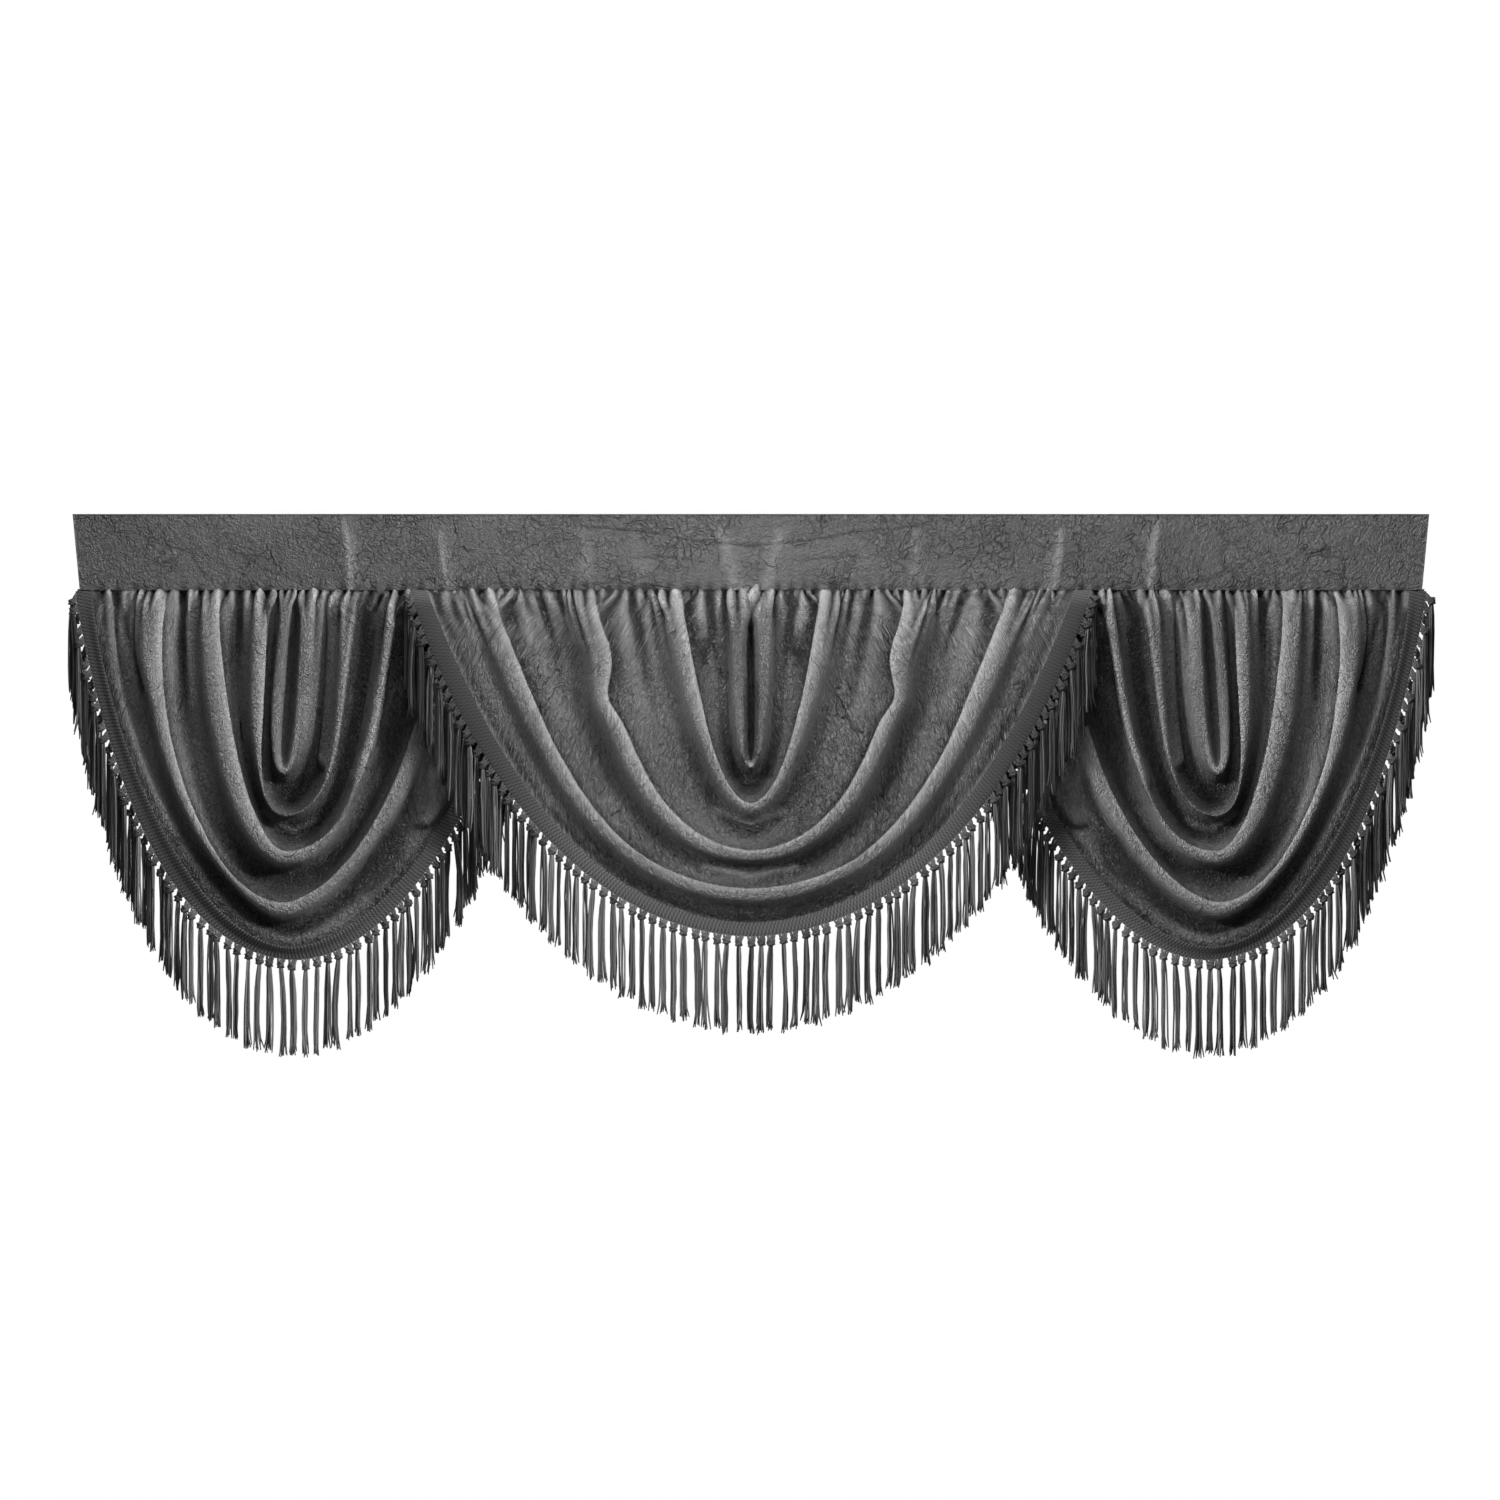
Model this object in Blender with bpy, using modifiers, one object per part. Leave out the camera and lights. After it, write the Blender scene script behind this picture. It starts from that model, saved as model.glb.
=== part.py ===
"""A window valance: a plain heading band, three gathered swags and their tassel fringe.

The origin is the middle of the heading's top edge. X runs along the valance, +Z is up,
and the front of the cloth faces -Y. Sizes are in millimetres until a mesh is made.

Each swag is one sheet of cloth. Its folds are U-shaped lines that run from the seam under
the heading, down to a low point, and up to the seam again. A line is a crest or a valley,
and the cloth rolls evenly from each line to the next, from the slit in the middle of the
swag out to the hem. A fringe is a braid strip on the front of the hem, with knotted
tassels that hang from it.
"""

import math
from typing import NamedTuple

import bmesh
import bpy
from mathutils import Matrix, Vector

MM = 0.001

# Heading band
HEADING_WIDTH = 1524.0
HEADING_FOOT_WIDTH = 1508.0
HEADING_HEIGHT = 85.0
HEADING_THICKNESS = 4.0
HEADING_COLUMNS = 48
HEADING_ROWS = 3

# Cloth, braid and the gaps between pieces
CLOTH_THICKNESS = 1.5
BRAID_THICKNESS = 2.0
BRAID_GAP = 0.5
BRAID_LIP = 2.5
SEAM_GAP = 0.4
SEAM_Z = -(HEADING_HEIGHT + SEAM_GAP)

# Shape of every swag
SIDE_CENTRE = 521.0
SIDE_SEAM_STAND = -1.2
CENTRE_SEAM_STAND = 1.2
LOW_POINT_RISE = 5.0
STITCHED = 4.0
PUFF = 22.0
ROLL = 0.35
BELLY_START = 0.3
LIMB_STEPS = 16
STEP_CROWDING = 1.3
STITCH_STEP = 0.006
ROWS_IN_SPAN = (0.2, 0.8)
BRAID_START = 0.2
WELD = 1e-5

# Tassels
TASSEL_PITCH = 12.3
TASSEL_HANG = 100.0
TASSEL_UNEVEN = 3.0
TASSEL_VARIES = 2.4
TASSEL_TURN = 0.4
FIRST_TASSEL = 6.0
ROOT_WIDTH = 1.8
KNOT_REACH = 9.5
KNOT_RADIUS = 3.8
WAIST_BELOW = 5.0
WAIST_RADIUS = 1.8
TIP_RADIUS = 3.0
KNOT_OUT = 0.8
KNOT_DOWN = 0.6
LANES_FROM = 0.6
LANES_FULL = 0.9


class Limb(NamedTuple):
    """One side of a fold line, from the seam down to the line's low point."""

    seam: float    # place on the seam, across from the swag's own centre
    lean: float    # sideways pull of the curve's handle at the seam
    drop: float    # how far down that handle goes
    sweep: float   # length of the level handle at the low point
    stand: float   # how far the cloth stands forward along the limb


class Low(NamedTuple):
    """The low point of a fold line."""

    x: float
    z: float
    stand: float


class Line(NamedTuple):
    """A crest or a valley, as two limbs that meet at a low point."""

    name: str
    left: Limb
    low: Low
    right: Limb


class Braid(NamedTuple):
    """The four long edges of a braid strip, as rows of points."""

    inner_front: list
    inner_back: list
    outer_front: list
    outer_back: list


class Lanes(NamedTuple):
    """How far forward the tassels of a steep edge hang in turn, so that they pass each other."""

    left: tuple
    right: tuple


class Ripple(NamedTuple):
    """A soft upright ripple in the heading band."""

    x: float
    width: float
    stand: float


# The left swag, from its slit out to its hem; the right swag is its mirror image
SIDE_LINES = (
    Line("slit", Limb(15, -12, 60, 0, -8), Low(-1, -282, -8), Limb(15, -12, 60, 0, -8)),
    Line("pouch", Limb(4, -10, 110, 25, 25), Low(-1, -293, 33), Limb(29, -15, 110, 25, 26)),
    Line("valley_1", Limb(-14, -5, 110, 35, 9), Low(3, -320, 9), Limb(49, -20, 115, 45, 3)),
    Line("fold_2", Limb(-26, 0, 130, 45, 27), Low(1, -338, 38), Limb(85, -35, 115, 70, 28)),
    Line("valley_2", Limb(-53, 0, 140, 50, 9), Low(3, -360, 13), Limb(106, -35, 120, 75, 8)),
    Line("fold_3", Limb(-79, 5, 160, 45, 28), Low(2, -379, 44), Limb(132, -45, 135, 85, 16)),
    Line("valley_3", Limb(-108, -8, 175, 55, 7), Low(0, -406, 13), Limb(153, -30, 160, 80, 5)),
    Line("fold_4", Limb(-134, -25, 190, 70, 26), Low(-3, -436, 46), Limb(171, -10, 190, 75, 9)),
    Line("valley_4", Limb(-186, -20, 180, 60, 8), Low(1, -466, 20), Limb(228, -15, 220, 55, 2)),
    Line("hem_fold", Limb(-212, 15, 195, 85, 14), Low(3, -480, 27), Limb(260, -35, 205, 110, 1)),
    Line("edge", Limb(-236, 38, 205, 145, 10), Low(12, -498, 18), Limb(285, -40, 190, 125, -1)),
)

# The left half of the centre swag, which is the same on both sides
CENTRE_HALF = (
    Line("slit", Limb(0, 0, 60, 0, -6), Low(0, -274, -10), None),
    Line("pouch", Limb(-20, 20, 110, 18, 26), Low(0, -285, 35), None),
    Line("valley_1", Limb(-38, 30, 110, 40, 8), Low(0, -306, 11), None),
    Line("fold_2", Limb(-81, 20, 110, 40, 30), Low(0, -325, 43), None),
    Line("valley_2", Limb(-125, 30, 135, 55, 8), Low(0, -356, 14), None),
    Line("fold_3", Limb(-174, 15, 145, 110, 35), Low(0, -378, 50), None),
    Line("valley_3", Limb(-237, 55, 165, 155, 11), Low(0, -398, 20), None),
    Line("fold_4", Limb(-293, 65, 155, 185, 38), Low(0, -420, 54), None),
    Line("valley_4", Limb(-352, 75, 170, 195, 23), Low(0, -448, 27), None),
    Line("edge", Limb(-381, 60, 185, 195, 30), Low(0, -471, 35), None),
)

HEADING_RIPPLES = (
    Ripple(-640, 60, 1.5),
    Ripple(-457, 22, 3.0),
    Ripple(-348, 26, 2.5),
    Ripple(-150, 90, 1.5),
    Ripple(0, 110, 1.0),
    Ripple(150, 90, 1.5),
    Ripple(348, 26, 2.5),
    Ripple(457, 22, 3.0),
    Ripple(640, 60, 1.5),
)

SIDE_LANES = Lanes(left=(0, 7, -7), right=(1, -6))
CENTRE_LANES = Lanes(left=(6, 15), right=(6, 15))

COLOURS = {
    "heading": (0.102, 0.102, 0.104, 1.0),
    "swag": (0.090, 0.090, 0.092, 1.0),
    "fringe": (0.066, 0.066, 0.068, 1.0),
}


def mirrored_limb(limb):
    """The same limb on the other side of the swag's centre."""
    return limb._replace(seam=-limb.seam, lean=-limb.lean)


def whole_lines(half):
    """Both limbs of each line of an even swag."""
    return tuple(line._replace(right=mirrored_limb(line.left)) for line in half)


def smooth(value):
    """0 below 0, 1 above 1, and a soft rise between."""
    share = min(max(value, 0.0), 1.0)
    return share * share * (3.0 - 2.0 * share)


def limb_point(limb, low, t, side, seam_stand):
    """A point of one limb, t from 0 at the seam to 1 at the low point."""
    start = Vector((limb.seam, SEAM_Z))
    end = Vector((low.x, low.z))
    from_seam = start + Vector((limb.lean, -limb.drop))
    into_low = end + Vector((side * limb.sweep, LOW_POINT_RISE))
    s = 1.0 - t
    flat = s ** 3 * start + 3 * s * s * t * from_seam + 3 * s * t * t * into_low + t ** 3 * end
    belly = smooth((t - BELLY_START) / (1.0 - BELLY_START))
    body = limb.stand + (low.stand - limb.stand) * belly
    below = max(SEAM_Z - flat.y - STITCHED, 0.0)
    puff = 1.0 - math.exp(-below / PUFF)
    stand = seam_stand + (body - seam_stand) * puff
    return Vector((flat.x, -stand, flat.y))


def limb_steps():
    """The places along a limb, crowded towards the seam, with a short stitched one first."""
    rest = [(i / (LIMB_STEPS - 1)) ** STEP_CROWDING for i in range(1, LIMB_STEPS)]
    return [0.0, STITCH_STEP] + rest


def line_points(line, seam_stand):
    """The points of a whole line, from the left end of the seam to the right end."""
    left = [limb_point(line.left, line.low, t, -1, seam_stand) for t in limb_steps()]
    right = [limb_point(line.right, line.low, t, 1, seam_stand) for t in limb_steps()[:-1]]
    return left + right[::-1]


def between(upper, lower, share):
    """The row of cloth that lies a share of the way from one line's points to the next's."""
    across = share + ROLL * math.sin(2 * math.pi * share) / (2 * math.pi)
    forward = (1.0 - math.cos(math.pi * share)) / 2.0
    row = []
    for a, b in zip(upper, lower):
        flat = a.lerp(b, across)
        row.append(Vector((flat.x, a.y + (b.y - a.y) * forward, flat.z)))
    return row


def swag_rows(lines, seam_stand):
    """All rows of a swag, from the slit to the hem. The last two carry the braid."""
    drawn = [line_points(line, seam_stand) for line in lines]
    rows = [drawn[0]]
    last = len(drawn) - 2
    for span in range(last):
        rows += [between(drawn[span], drawn[span + 1], share) for share in ROWS_IN_SPAN]
    rows.append(between(drawn[last], drawn[last + 1], BRAID_START))
    rows.append(drawn[last + 1])
    return rows


def outward(rows, row, column):
    """The way the front of the cloth faces at a point of its grid."""
    line = rows[row]
    along = line[min(column + 1, len(line) - 1)] - line[max(column - 1, 0)]
    down = rows[min(row + 1, len(rows) - 1)][column] - rows[max(row - 1, 0)][column]
    normal = along.cross(down).normalized()
    return normal if normal.y < 0 else -normal


def sheet_mesh(name, rows):
    """An open grid through the rows, in metres, welded where two limbs lie together."""
    columns = len(rows[0])
    grid = bmesh.new()
    bmesh.ops.create_grid(grid, x_segments=columns - 1, y_segments=len(rows) - 1, size=1.0)
    grid.verts.ensure_lookup_table()
    flat = [point for row in rows for point in row]
    for vert, point in zip(grid.verts, flat):
        vert.co = point * MM
    bmesh.ops.triangulate(grid, faces=grid.faces[:], quad_method="FIXED")
    bmesh.ops.remove_doubles(grid, verts=grid.verts[:], dist=WELD)
    bmesh.ops.recalc_face_normals(grid, faces=grid.faces[:])
    mesh = bpy.data.meshes.new(name)
    grid.to_mesh(mesh)
    grid.free()
    mesh.shade_smooth()
    return mesh


def make_material(name, colour, roughness):
    """A Principled material in one colour."""
    material = bpy.data.materials.new(name)
    material.use_nodes = True
    shader = material.node_tree.nodes["Principled BSDF"]
    shader.inputs["Base Color"].default_value = colour
    shader.inputs["Roughness"].default_value = roughness
    shader.inputs["Metallic"].default_value = 0.0
    return material


def add_object(name, mesh, collection, material=None):
    """A new object of a mesh in a collection."""
    piece = bpy.data.objects.new(name, mesh)
    collection.objects.link(piece)
    if material:
        mesh.materials.append(material)
    return piece


def add_sheet(name, rows, thickness, collection, material):
    """A sheet through the rows, with half of its thickness on each side."""
    piece = add_object(name, sheet_mesh(name, rows), collection, material)
    solid = piece.modifiers.new("thickness", "SOLIDIFY")
    solid.thickness = thickness * MM
    solid.offset = 0.0
    return piece


def mirrored_copy(piece, name, collection):
    """The finished piece again, as its mirror image across the valance's middle."""
    graph = bpy.context.evaluated_depsgraph_get()
    mesh = bpy.data.meshes.new_from_object(piece.evaluated_get(graph))
    mesh.name = name
    mesh.transform(Matrix.Scale(-1.0, 4, (1.0, 0.0, 0.0)))
    mesh.flip_normals()
    return add_object(name, mesh, collection)


def heading_ripple(x, z):
    """How far the heading stands forward at a point: nothing at its top edge and its seam."""
    body = math.sin(math.pi * min(max(-z / HEADING_HEIGHT, 0.0), 1.0)) ** 2
    waves = sum(r.stand * math.exp(-(((x - r.x) / r.width) ** 2)) for r in HEADING_RIPPLES)
    return body * waves


def build_heading(collection, material):
    """The double band of cloth that the rod goes through, closed as it hangs."""
    rows = []
    for step in range(HEADING_ROWS + 1):
        share = step / HEADING_ROWS
        z = -HEADING_HEIGHT * share
        width = HEADING_WIDTH + (HEADING_FOOT_WIDTH - HEADING_WIDTH) * share
        xs = [width * (i / HEADING_COLUMNS - 0.5) for i in range(HEADING_COLUMNS + 1)]
        rows.append([Vector((x, -heading_ripple(x, z), z)) for x in xs])
    add_sheet("heading_band", rows, HEADING_THICKNESS, collection, material)


def braid_edges(rows, first, last):
    """The edges of the braid that lies on the front of the hem, from column to column."""
    back = CLOTH_THICKNESS / 2 + BRAID_GAP
    front = back + BRAID_THICKNESS
    braid = Braid([], [], [], [])
    for column in range(first, last + 1):
        normal = outward(rows, len(rows) - 1, column)
        inner = rows[-2][column]
        hem = rows[-1][column]
        outer = hem + (hem - inner).normalized() * BRAID_LIP
        braid.inner_front.append(inner + normal * front)
        braid.inner_back.append(inner + normal * back)
        braid.outer_front.append(outer + normal * front)
        braid.outer_back.append(outer + normal * back)
    return braid


def tassel_places(edge):
    """For each segment of the braid's edge, how far along it the tassels' roots lie."""
    places = []
    wanted = FIRST_TASSEL
    walked = 0.0
    for a, b in zip(edge, edge[1:]):
        length = (b - a).length
        here = []
        while wanted <= walked + length:
            here.append(min(max(wanted - walked, ROOT_WIDTH), length - ROOT_WIDTH))
            wanted += TASSEL_PITCH
        walked += length
        places.append(here)
    return places


def tassel_ring(mesh, centre, radius, turn):
    """The three corners of a level section; the front one stands twice, to meet four."""
    ring = []
    for corner in range(3):
        angle = turn + math.pi * (2 * corner / 3 - 0.5)
        point = centre + radius * Vector((math.cos(angle), math.sin(angle), 0))
        ring.append(mesh.verts.new(point * MM))
    return [ring[0]] + ring


def add_tassel(mesh, root, tangent, number, lanes):
    """A tassel as a loft from its root in the braid: a knot, a waist and a skirt."""
    middle = sum((vert.co for vert in root), Vector()) / (len(root) * MM)
    out = Vector((tangent.z, 0, -tangent.x)).normalized()
    steep = smooth((abs(out.x) - LANES_FROM) / (LANES_FULL - LANES_FROM))
    turns = lanes.left if out.x < 0 else lanes.right
    lane = Vector((0, -turns[number % len(turns)] * steep, 0))
    pull = Vector((out.x * KNOT_OUT, 0, out.z * KNOT_OUT - KNOT_DOWN)).normalized()
    knot = middle + pull * KNOT_REACH + lane
    varies = math.sin(number * TASSEL_VARIES)
    hang = TASSEL_HANG + TASSEL_UNEVEN * varies
    upper = root
    for below, radius in ((0, KNOT_RADIUS), (WAIST_BELOW, WAIST_RADIUS), (hang, TIP_RADIUS)):
        lower = tassel_ring(mesh, knot - Vector((0, 0, below)), radius, TASSEL_TURN * varies)
        for i, j in ((0, 1), (1, 2), (2, 3), (3, 0)):
            corners = dict.fromkeys((upper[i], upper[j], lower[j], lower[i]))
            if len(corners) > 2:
                mesh.faces.new(tuple(corners))
        upper = lower
    mesh.faces.new(upper[1:])


def new_verts(mesh, points):
    """One vertex in metres for each point."""
    return [mesh.verts.new(point * MM) for point in points]


def build_fringe(name, rows, first, last, lanes, collection, material):
    """A braid strip along the hem and its tassels, which grow out of the strip's edge."""
    braid = braid_edges(rows, first, last)
    mesh = bmesh.new()
    inner_front, inner_back, outer_front, outer_back = (new_verts(mesh, row) for row in braid)
    number = 0
    for i, places in enumerate(tassel_places(braid.outer_front)):
        along = braid.outer_front[i + 1] - braid.outer_front[i]
        chain = [(outer_front[i], outer_back[i])]
        for place in places:
            for end in (-ROOT_WIDTH / 2, ROOT_WIDTH / 2):
                share = (place + end) / along.length
                front = braid.outer_front[i].lerp(braid.outer_front[i + 1], share)
                back = braid.outer_back[i].lerp(braid.outer_back[i + 1], share)
                chain.append(new_verts(mesh, (front, back)))
        chain.append((outer_front[i + 1], outer_back[i + 1]))
        for k, (a, b) in enumerate(zip(chain, chain[1:])):
            mesh.faces.new((inner_front[i], a[0], b[0]))
            mesh.faces.new((inner_back[i], b[1], a[1]))
            if k % 2:
                add_tassel(mesh, (a[0], b[0], b[1], a[1]), along.normalized(), number, lanes)
                number += 1
            else:
                mesh.faces.new((a[0], a[1], b[1], b[0]))
        mesh.faces.new((inner_front[i], outer_front[i + 1], inner_front[i + 1]))
        mesh.faces.new((inner_back[i], inner_back[i + 1], outer_back[i + 1]))
        mesh.faces.new((inner_front[i], inner_front[i + 1], inner_back[i + 1], inner_back[i]))
    for end in (0, -1):
        mesh.faces.new((inner_front[end], inner_back[end], outer_back[end], outer_front[end]))
    bmesh.ops.recalc_face_normals(mesh, faces=mesh.faces[:])
    data = bpy.data.meshes.new(name)
    mesh.to_mesh(data)
    mesh.free()
    return add_object(name, data, collection, material)


def placed(rows, centre):
    """The rows moved sideways to the swag's place."""
    return [[point + Vector((centre, 0, 0)) for point in row] for row in rows]


def new_collection(name):
    """A collection in the scene."""
    collection = bpy.data.collections.new(name)
    bpy.context.scene.collection.children.link(collection)
    return collection


def main():
    """Build the valance from its heading down."""
    for old in list(bpy.data.objects):
        bpy.data.objects.remove(old, do_unlink=True)
    valance = new_collection("swag_valance")
    satin = make_material("satin", COLOURS["swag"], 0.45)
    heading_satin = make_material("heading_satin", COLOURS["heading"], 0.5)
    yarn = make_material("yarn", COLOURS["fringe"], 0.8)

    build_heading(valance, heading_satin)

    side = placed(swag_rows(SIDE_LINES, SIDE_SEAM_STAND), -SIDE_CENTRE)
    last = len(side[0]) - 1
    swag_left = add_sheet("swag_left", side, CLOTH_THICKNESS, valance, satin)
    fringe_left = build_fringe("fringe_left", side, 1, last - 2, SIDE_LANES, valance, yarn)
    mirrored_copy(swag_left, "swag_right", valance)
    mirrored_copy(fringe_left, "fringe_right", valance)

    centre = swag_rows(whole_lines(CENTRE_HALF), CENTRE_SEAM_STAND)
    add_sheet("swag_centre", centre, CLOTH_THICKNESS, valance, satin)
    build_fringe("fringe_centre", centre, 1, last - 1, CENTRE_LANES, valance, yarn)


main()
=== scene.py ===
"""Looks of a swag valance in charcoal crushed satin: heading band, three gathered swags, fringe.

Tables are in millimetres, in the part's own frame: X runs along the valance, Z is up, the
front faces -Y, and the origin is the middle of the heading's top edge. Meshes are in metres.

A swag is one sheet of cloth. Its fold lines are U-shaped: each runs from the seam under the
heading down to a low point and up to the seam again, and the lines follow each other from
the slit in the swag's middle out to the hem. A place on the sheet is a number of lines
counted from the slit, and a share of the way along them: -1 is the left end of the seam,
0 the low point and 1 the right end of the seam.
"""

import logging
import math
from dataclasses import dataclass, field, replace
from enum import Enum
from typing import Any, Iterable, Sequence

import bpy
import numpy as np
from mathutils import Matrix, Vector


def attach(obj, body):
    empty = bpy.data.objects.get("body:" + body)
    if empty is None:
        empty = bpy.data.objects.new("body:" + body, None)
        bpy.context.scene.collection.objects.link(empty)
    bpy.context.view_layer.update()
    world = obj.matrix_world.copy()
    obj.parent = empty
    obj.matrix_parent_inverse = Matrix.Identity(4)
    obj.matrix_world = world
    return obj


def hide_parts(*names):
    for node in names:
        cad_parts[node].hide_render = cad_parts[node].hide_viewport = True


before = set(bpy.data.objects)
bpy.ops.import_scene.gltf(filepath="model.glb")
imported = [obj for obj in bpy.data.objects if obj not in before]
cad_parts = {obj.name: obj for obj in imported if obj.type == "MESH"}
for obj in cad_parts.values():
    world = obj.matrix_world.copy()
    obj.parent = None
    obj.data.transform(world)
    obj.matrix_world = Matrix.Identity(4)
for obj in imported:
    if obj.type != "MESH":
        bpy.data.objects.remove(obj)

log = logging.getLogger("valance")

MM = 0.001
BODY = "root"

HEADING_WIDTH = 1524.0
HEADING_FOOT_WIDTH = 1508.0
HEADING_HEIGHT = 85.0
SEAM_Z = -84.2
SIDE_CENTRE = 521.0

LOW_POINT_RISE = 5.0
BELLY_START = 0.3
FREE_BELOW = 30.0
HOOK_SCALE = 45.56  # 1 over the peak of share ** 2 * (1 - share) ** 4


def smooth(value: np.ndarray) -> np.ndarray:
    """Rise softly from 0 to 1.

    Args:
        value: Numbers, where 0 and less give 0, and 1 and more give 1.

    Returns:
        The eased numbers.
    """
    share = np.clip(value, 0.0, 1.0)
    return share * share * (3.0 - 2.0 * share)


def belly_share(t: np.ndarray) -> np.ndarray:
    """How much of its low point's values a fold line has at places from 0, the seam, to 1."""
    return smooth((t - BELLY_START) / (1.0 - BELLY_START))


def hump(away: np.ndarray) -> np.ndarray:
    """A bell curve that is 1 at 0 and falls to 0.37 at 1."""
    return np.exp(-(away ** 2))


def unit(vectors: np.ndarray) -> np.ndarray:
    """Scale vectors in the last axis to a length of 1.

    Args:
        vectors: Any array of vectors.

    Returns:
        The unit vectors.
    """
    return vectors / np.maximum(np.linalg.norm(vectors, axis=-1, keepdims=True), 1e-9)


class Grain:
    """Soft seeded unevenness over a plane."""

    CELLS = 64

    def __init__(self, seed: int) -> None:
        """Draw the lattice of one field.

        Args:
            seed: Which field this is.
        """
        self.lattice = np.random.default_rng(seed).uniform(-1.0, 1.0, (self.CELLS, self.CELLS))

    def at(self, x: np.ndarray, y: np.ndarray) -> np.ndarray:
        """Read the field, whose bumps are 1 wide.

        Args:
            x: First coordinate.
            y: Second coordinate.

        Returns:
            Numbers from -1 to 1.
        """
        left, low = np.floor(x).astype(int), np.floor(y).astype(int)
        across, up = smooth(x - left), smooth(y - low)
        i, j = left % self.CELLS, low % self.CELLS
        i_next, j_next = (i + 1) % self.CELLS, (j + 1) % self.CELLS
        lower = self.lattice[i, j] * (1 - across) + self.lattice[i_next, j] * across
        upper = self.lattice[i, j_next] * (1 - across) + self.lattice[i_next, j_next] * across
        return lower * (1 - up) + upper * up

    def ridges(self, x: np.ndarray, y: np.ndarray) -> np.ndarray:
        """Read the field as narrow ridges along its zero lines.

        Args:
            x: First coordinate.
            y: Second coordinate.

        Returns:
            Numbers from 0 to 1.
        """
        return (1.0 - np.abs(self.at(x, y))) ** 6


class Socket:
    """A node's output that takes part in Python expressions, which add Math nodes."""

    def __init__(self, graph: "Graph", output: bpy.types.NodeSocket) -> None:
        """Wrap an output.

        Args:
            graph: The graph that the output belongs to.
            output: The output.
        """
        self.graph = graph
        self.output = output

    def _math(self, operation: str, first: Any, second: Any = 0.0) -> "Socket":
        """Add a Math node of two values."""
        return self.graph.node(
            "ShaderNodeMath", "Value", {"operation": operation}, {0: first, 1: second}
        )

    def __add__(self, other: Any) -> "Socket":
        """This plus other."""
        return self._math("ADD", self, other)

    def __radd__(self, other: Any) -> "Socket":
        """Other plus this."""
        return self._math("ADD", other, self)

    def __sub__(self, other: Any) -> "Socket":
        """This less other."""
        return self._math("SUBTRACT", self, other)

    def __rsub__(self, other: Any) -> "Socket":
        """Other less this."""
        return self._math("SUBTRACT", other, self)

    def __mul__(self, other: Any) -> "Socket":
        """This times other."""
        return self._math("MULTIPLY", self, other)

    def __rmul__(self, other: Any) -> "Socket":
        """Other times this."""
        return self._math("MULTIPLY", other, self)

    def clamped(self) -> "Socket":
        """This held between 0 and 1."""
        return self.graph.node(
            "ShaderNodeMath", "Value", {"operation": "ADD", "use_clamp": True}, {0: self, 1: 0.0}
        )


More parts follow.
